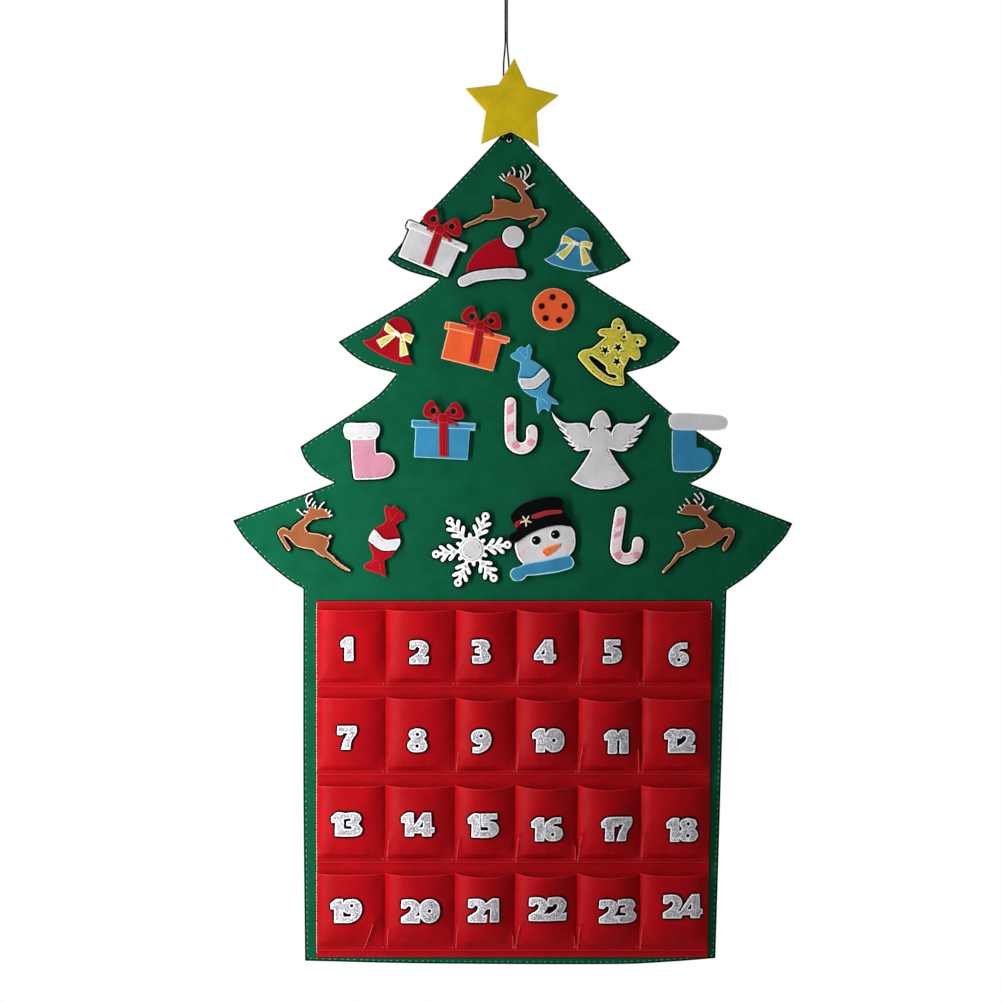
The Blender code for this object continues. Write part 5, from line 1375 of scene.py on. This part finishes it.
# Bells with bows
plate("bell_blue", BLUE, shaded=False)
plate("bell_red", DEEP_RED, shaded=False)
BOWS = {
    "blue": (((562.6, 235), (568, 237), (573.6, 240.6), (571.6, 246), (566, 243.6), (560.6, 245.4),
              (561, 240)),
             ((571, 242.6), (575, 245.6), (569, 254), (563, 260.6), (555.4, 254.4), (562, 250.6),
              (567, 246.8)),
             ((579.4, 242.6), (585, 241), (592.6, 243), (590.6, 250.4), (586, 248), (582, 246.6)),
             ((579.4, 244.6), (584, 247.6), (588, 255), (591.6, 262.4), (587, 265), (582, 266), (580.6, 257)),
             ((573.6, 240.4), (577, 242), (580, 243.4), (579, 246), (575, 245.6), (572.6, 243.6))),
    "red": (((386.6, 322.4), (391, 326), (396, 330.6), (395, 334.6), (389, 333.6), (384.2, 330)),
            ((394.4, 333.4), (396, 336.4), (389, 342.6), (381.6, 348.4), (376.4, 340.4), (385, 336.6)),
            ((401, 334.4), (406, 333), (414.6, 335.6), (411, 344), (404, 339.6)),
            ((400.4, 337.4), (404.4, 338.6), (406.4, 346), (409, 354.6), (400, 357.4), (400, 346)),
            ((396, 330), (400.4, 333.6), (402, 337), (399, 338), (395, 335))),
}
for colour, parts in BOWS.items():
    node = f"bell_bow_{colour}"
    for i, outline in enumerate(parts):
        front = TRIM - (0.5 * MM if i == 4 else 0.12 * MM * i)
        cut_felt(f"{node}_{i + 1}", outline, front, front + 1.5 * MM, CREAM if i < 4 else BONE, BODY[node],
                 replaces=[] if i else [node], edge=0.5 * MM, grid=1.6 * MM, step=0.7 * MM, crown=0.3 * MM,
                 seed=i)
        # painted shadow: a dark line round each bow part
        shade_under(f"{node}_{i + 1}", [px(outline)], BODY[node], TRIM - 0.3 * MM, wider=0.8, material=INK_AND_SHADE)

# Biscuit
plate("biscuit", ORANGE, shaded=False)
_, parts, _ = regions("biscuit")
for i, (y, loops) in enumerate(part for part in parts if part[0] < PLATE - 0.3 * MM):
    slab(f"biscuit_dot_{i + 1}", loops, y, PLATE + 0.4 * MM, CHOCOLATE, "biscuit", grid=1.6 * MM,
         edge=0.5 * MM)

# Pierced bell
plate("bell_yellow", LEMON)

# Sweets: felt, outline, band, the dark seams beside the band, and pleats of the twisted ends, as the ends'
# centres and for each pleat the offsets that it starts and ends at
SWEETS = {
    "candy_blue": (SKY, (
        (510, 355.5), (513, 353), (516, 352), (516.4, 350), (519.4, 347.4), (522, 346.4), (524.6, 348),
        (527.4, 346), (528.8, 343.8), (530.6, 346), (532.2, 350.4), (531.2, 355), (530.4, 359.6),
        (536, 362.4), (541, 366), (545, 369.4), (549.6, 376), (550, 381), (548, 388), (546.6, 393),
        (551, 396.8), (556, 400.2), (559, 404.6), (555, 404.4), (551.4, 403.4), (550.4, 408), (548.8, 412),
        (545, 408.6), (541.4, 410), (538, 414.6), (536.8, 408), (536.4, 402), (537.2, 397.8), (531, 396),
        (525, 392.2), (521, 387), (518, 380.5), (518.6, 374),
        (520.2, 368), (520.2, 362.4), (514, 359.6), (511, 357.4)),
        ((518.2, 379.4), (520, 378.2), (532.6, 378), (542.8, 368.4), (545.2, 369.4), (549.8, 376.2),
         (536, 388), (524.4, 389), (521, 386.4)),
        (((520, 377.2), (526, 377.4), (532, 377), (537, 372.4), (542, 367.4)),
         ((523.6, 389.8), (530, 389.4), (536.4, 388.8), (543, 383.4), (549.6, 377.6))),
        (((525, 352), ((2, 9), (-5, 0))), ((525, 352), ((2, 9), (3, -4))),
         ((543, 404), ((-3, -7), (-5, 7))), ((543, 404), ((-3, -7), (6, 1))))),
    "candy_red": (DEEP_RED, (
        (385.5, 505.4), (389, 506.6), (391, 508), (394, 505.4), (397.4, 508), (401, 511), (405.2, 514.6),
        (404, 519), (400, 521.6), (396, 524.6), (396, 527), (398.4, 531), (400, 538.4), (400, 544),
        (396.4, 550), (392.4, 555), (388, 558.4), (384.6, 560), (384.6, 565), (385.6, 571), (385.6, 577),
        (382, 575.4), (379.4, 573.4), (376, 573), (372, 571.4), (367, 570), (363.4, 566.6), (366, 563.4),
        (371, 560.6), (373.4, 557.6), (372, 552), (369.6, 545),
        (368.6, 540.4), (370, 535), (374, 529.2), (379, 526), (384, 523), (386, 520), (385, 514),
        (384.4, 509)),
        ((374.2, 529.4), (376, 530.4), (385, 539.2), (400.2, 538.4), (400.2, 543.6), (396.2, 550), (382, 550),
         (368.8, 541), (370, 535.6)),
        (((374.6, 528.4), (380, 533), (385.4, 538), (393, 537.8), (400, 537.2)),
         ((368.8, 542.2), (375, 546.6), (382, 551), (389, 551), (396, 550.8))),
        (((392, 513), ((-1, 10), (-3, -3))), ((392, 513), ((-1, 10), (6, -1))),
         ((377, 566), ((2, -8), (-7, 0))), ((377, 566), ((2, -8), (4, 6))))),
}
for node, (felt_of, outline, stripe, seams, pleats) in SWEETS.items():
    plate(node, felt_of, shaded=False, loops=[wound(px(outline))], soft=0.35 * MM)
    cut_felt(f"{node}_band", stripe, PLATE - 0.7 * MM, PLATE + 0.5 * MM, WHITE, BODY[node], edge=0.5 * MM,
             grid=1.8 * MM)
    tubes(f"{node}_seams", seams, PLATE - 0.1 * MM, 0.5 * MM, INK_AND_SHADE, BODY[node])
    lines = []
    for (cx, cy), (a, b) in pleats:
        lines.append([(cx + a[0] * 0.8, cy + a[1] * 0.8),
                      (cx + (a[0] + b[0]) / 2, cy + (a[1] + b[1]) / 2 - 0.6), (cx + b[0], cy + b[1])])
    tubes(f"{node}_pleats", lines, PLATE - 0.05 * MM, 0.4 * MM, felt_of, BODY[node])

# Candy canes
CANE_STRIPES = {
    "candy_cane_upper": (((506.8, 406), (513.4, 403), (513.4, 412), (506.8, 416)),
                         ((506.8, 425.6), (513.2, 422.6), (513.2, 430.4), (506.8, 433)),
                         ((511.2, 443.4), (516.6, 440.8), (520.6, 446.4), (516, 449.2), (512.6, 447.6)),
                         ((526.4, 441.4), (530.4, 438), (535.6, 441.2), (532.4, 446.2), (527.8, 445.8))),
    "candy_cane_lower": (((616.8, 518.6), (624, 517.2), (622.6, 525), (615.6, 527.4)),
                         ((614, 533.4), (621.6, 530), (620.2, 536), (613.2, 538.4)),
                         ((613.8, 553), (620, 551), (622.6, 555), (619.4, 560.2), (615.2, 558.6)),
                         ((632.6, 553), (635.8, 551.4), (641, 552.8), (639.6, 558.4), (634.4, 559.2))),
}
for node, stripes in CANE_STRIPES.items():
    plate(node, CANE, soft=0.35 * MM)
    for i, stripe in enumerate(stripes):
        cut_felt(f"{node}_stripe_{i + 1}", stripe, PLATE - 0.28 * MM, PLATE + 0.3 * MM, CANE_PINK, BODY[node],
                 edge=0.25 * MM, grid=1.6 * MM, step=0.7 * MM, soft=0.7 * MM)

# Angel: feathers are cut in, the shoulders lie over the wings
ANGEL = (
    (601.5, 410.4), (605.5, 412.4), (609, 418), (610.8, 425), (610.6, 427.2), (607, 427.4), (606.4, 428.6),
    (609, 430.4), (611.2, 433.6), (612.4, 430.4), (615.6, 425.4), (620, 423.2), (628, 424), (636, 423.4),
    (642, 420.6), (646, 416.6), (649.6, 414.4), (648, 419), (644, 424.2), (638.6, 428), (635, 430),
    (638.6, 429.8), (642.6, 429.2), (640.6, 433), (636.6, 436), (631.6, 438.2), (635, 438.4), (638.6, 437.6),
    (636, 441), (631, 443), (627, 443.6), (630.4, 445), (634, 443.8), (632, 446.4), (627.4, 447.2),
    (623.6, 446.8), (628, 449), (625, 451), (618, 451), (608.6, 448.4), (612.4, 455), (618, 464), (624, 472),
    (629.6, 479.4), (624, 483.4), (614, 487.6), (601, 489.4), (588, 487.6), (578, 484), (570.6, 479.4),
    (576, 473), (583, 463), (588, 455), (591, 449.2), (585, 449.8), (578, 451.2), (573.2, 448.8),
    (577.6, 446.4), (573, 446.6), (567.4, 443.6), (573.4, 443.2), (569, 441.6), (563, 436.6), (569.4, 438.2),
    (565, 434.4), (558.4, 428.2), (565.6, 430.8), (559, 426), (554.4, 420), (551.4, 411.4), (556, 417),
    (562, 421.4), (568, 423.4), (576, 423), (583.6, 423.6), (587.4, 427), (589.6, 433.4), (592, 430.4),
    (595, 428.6), (594.4, 427.4), (590.4, 427.4), (590.2, 425), (592.4, 417.6), (597, 412.2),
)
plate("angel", BRIGHT, loops=[wound(px(ANGEL))], soft=0.3 * MM, step=0.7 * MM)
tubes("angel_lines", [((590, 436), (592.4, 431.6), (596, 430)), ((605.4, 430), (608.8, 431.6), (611, 436)),
                      ((586.4, 427.4), (588.6, 432), (589, 438)),
                      ((615.4, 427.4), (612.8, 432), (612.4, 438))],
      PLATE - 0.02 * MM, 0.5 * MM, STITCH_SNOW, "angel")
tubes("angel_neck", [((591, 428.6), (594, 429), (596.6, 428.4)),
                     ((604.8, 428.4), (607.4, 429), (610, 428.8))],
      PLATE + 0.1 * MM, 0.45 * MM, INK_AND_SHADE, "angel")

# Stockings
plate("stocking_pink", PINK)
plate("stocking_blue", DEEP_BLUE, shaded=False)
CUFFS = {
    "stocking_pink": (WHITE, (
        (343.8, 428), (345.4, 423.8), (350, 422.8), (362, 423.2), (375, 422.8), (379.2, 425.8), (380, 431),
        (378, 436.6), (373.5, 439.4), (362, 439.6), (351, 439.8), (346.4, 438.4), (343.8, 433))),
    "stocking_blue": (CUFF, (
        (668.4, 421.6), (669.6, 416.2), (674.6, 413.4), (700, 413.8), (718, 415.2), (725.6, 417.6),
        (727.6, 423),
        (725, 428.6), (718, 430.4), (700, 430.4), (676, 430), (670, 427.4))),
}
for node, (felt_of, outline) in CUFFS.items():
    cut_felt(f"{node}_cuff", outline, PLATE - 0.8 * MM, PLATE + 2.05 * MM, felt_of, node, edge=0.6 * MM)
    # painted shadow: a dark line round the cuff
    shade_under(f"{node}_cuff", [px(outline)], node, PLATE - 0.4 * MM, wider=0.7)
STOCKING_EDGE = ((672.4, 431), (672.2, 445), (672.4, 460), (673.2, 468.4), (675.8, 471.1), (690, 471.7),
                 (702, 471), (708, 467))
tubes("stocking_blue_piping", [STOCKING_EDGE], PLATE + 0.1 * MM, 0.6 * MM, STITCH_ICE, "stocking_blue")

# Snowflake
plate("snowflake", BRIGHT)
_, parts, _ = regions("snowflake")
for i, (y, loops) in enumerate(part for part in parts if part[0] < PLATE - 0.3 * MM):
    slab(f"snowflake_disc_{i + 1}", loops, y, PLATE + 0.4 * MM, WHITE, "snowflake", edge=0.5 * MM)

# Snowman
HEAD = ((515, 544), (519, 537), (528, 529), (540, 524), (553, 522), (566, 524), (573.6, 530), (575.2, 538),
        (575, 546),
        (573, 551), (569, 556), (566, 561), (555, 567), (540, 568.6), (530, 567), (524, 564), (519, 559),
        (516, 552))
plate("snowman_head", BRIGHT, loops=[wound(px(HEAD))])
SCARF = (
    (524, 564), (535, 562), (548, 559.6), (560, 556.6), (568, 555.4), (572, 557.4), (573.6, 562), (572, 567),
    (566, 569.6), (556, 572), (545, 573.6), (535, 574.8), (526.6, 575.4), (525.4, 577.4), (522, 580),
    (517, 581), (513, 579.6), (510.4, 575.4), (510.8, 570.6), (514, 568), (519, 566.6),
)
SCARF_SHADOW = ((509, 570), (524, 564), (568, 555), (574, 562), (566, 570), (526, 576.4), (518, 582),
                (512, 580))
SCARF_EDGES = (
    ((571, 557.6), (573.4, 562), (571.6, 567), (566, 569.4), (556, 571.9), (545, 573.5), (535, 574.7),
     (526.6, 575.4), (524, 578.6), (520.4, 580.2)),
    ((514.6, 568.2), (511.4, 571), (510.6, 575), (512.6, 578.8), (515.6, 580.6)),
    ((523.4, 563), (525, 566.4)),
)
cut_felt("scarf", SCARF, PLATE - 1.1 * MM, PLATE + 0.9 * MM, BLUE, "snowman", edge=0.8 * MM, crown=0.4 * MM,
         wave=0.3 * MM)
shade_under("scarf", [px(SCARF_SHADOW)], "snowman", PLATE - 0.3 * MM, wider=0.5)
tubes("scarf_edge", SCARF_EDGES, PLATE - 0.7 * MM, 0.6 * MM, STITCH_ICE, "snowman")
SPECK_CUT = {"rings": (0.2,), "soft": 0.1 * MM}    # how a very small piece is cut
# painted highlights: a white ring round each black eye, and a glint on it
for side, (x, y) in (("left", (536.1, 540.3)), ("right", (555.2, 534.4))):
    cut_felt(f"eye_ring_highlight_{side}", ring(x, y, 6.0), PLATE - 0.25 * MM, PLATE + 0.3 * MM, EYE_HIGHLIGHT, "snowman",
             edge=0.25 * MM, grid=1.6 * MM)
    cut_felt(f"eye_{side}", ring(x, y, 4.5), PLATE - 1.0 * MM, PLATE + 0.3 * MM, BLACK, "snowman",
             edge=0.7 * MM, grid=1.4 * MM, crown=0.4 * MM)
    cut_felt(f"eye_glint_{side}", ring(x - 1.9, y - 0.4, 0.7, sides=8), PLATE - 1.5 * MM, PLATE - 0.9 * MM,
             EYE_HIGHLIGHT, "snowman", step=0.4 * MM, grid=0.8 * MM, edge=0.2 * MM, **SPECK_CUT)
CARROT_OUTLINE = ((541.8, 551), (545.4, 556.4), (549.6, 555), (554.4, 551), (560.4, 546), (560.6, 543.2),
                  (556, 544.2), (550, 546.2), (544.6, 548))
cut_felt("carrot", CARROT_OUTLINE, PLATE - 1.2 * MM, PLATE + 0.3 * MM, CARROT, "snowman", edge=0.8 * MM,
         crown=0.5 * MM, grid=1.4 * MM)
tubes("carrot_marks", [((543, 552), (544.6, 553.4)), ((546, 555.6), (547.6, 554)),
                       ((549, 549), (550, 550.8))],
      PLATE - 1.5 * MM, 0.35 * MM, STITCH_RUST, "snowman")
for side, (x, y) in (("left", (521.6, 552)), ("right", (566, 549))):
    cut_felt(f"cheek_{side}", ring(x, y, 3.0), PLATE - 0.22 * MM, PLATE + 0.3 * MM, BLUSH, "snowman",
             edge=0.2 * MM, grid=1.6 * MM)
plate("snowman_hat", BLACK, shaded=False, front=TRIM, thick=1.5, dot=False)
BAND_RIGHT = ((531.4, 518.6), (532, 515), (538, 512.8), (546, 510.6), (555, 510), (562, 510), (562.4, 513),
              (555, 513.8), (546, 515.2), (538, 518))
BAND_LEFT = ((514.6, 524.6), (516, 522), (522, 519), (523.6, 521.4), (519, 525.4), (516, 528))
# the band's right part is lighter than its left: painted highlight
cut_felt("hat_band_right", BAND_RIGHT, TRIM - 0.8 * MM, TRIM + 0.4 * MM, HAT_BAND_HIGHLIT, "snowman", edge=0.7 * MM,
         crown=0.4 * MM, grid=1.6 * MM)
cut_felt("hat_band_left", BAND_LEFT, TRIM - 0.6 * MM, TRIM + 0.4 * MM, DEEP_RED, "snowman", edge=0.6 * MM,
         crown=0.3 * MM, grid=1.6 * MM)
FLOWER, PETALS, FIRST_PETAL = (526, 520.6), 5, -128
petals = []
for i in range(PETALS):
    turn = math.radians(FIRST_PETAL + 360 / PETALS * i)
    petals.append([(FLOWER[0] + r * math.cos(turn), FLOWER[1] + r * math.sin(turn)) for r in (1.0, 5.6)])
tubes("flower_petals", petals, TRIM - 0.9 * MM, 0.8 * MM, STITCH_BONE, "snowman")
cut_felt("flower_eye", ring(*FLOWER, 1.1, sides=8), TRIM - 1.9 * MM, TRIM - 0.6 * MM, CREAM, "snowman",
         step=0.5 * MM, grid=0.9 * MM, edge=0.4 * MM, **SPECK_CUT)
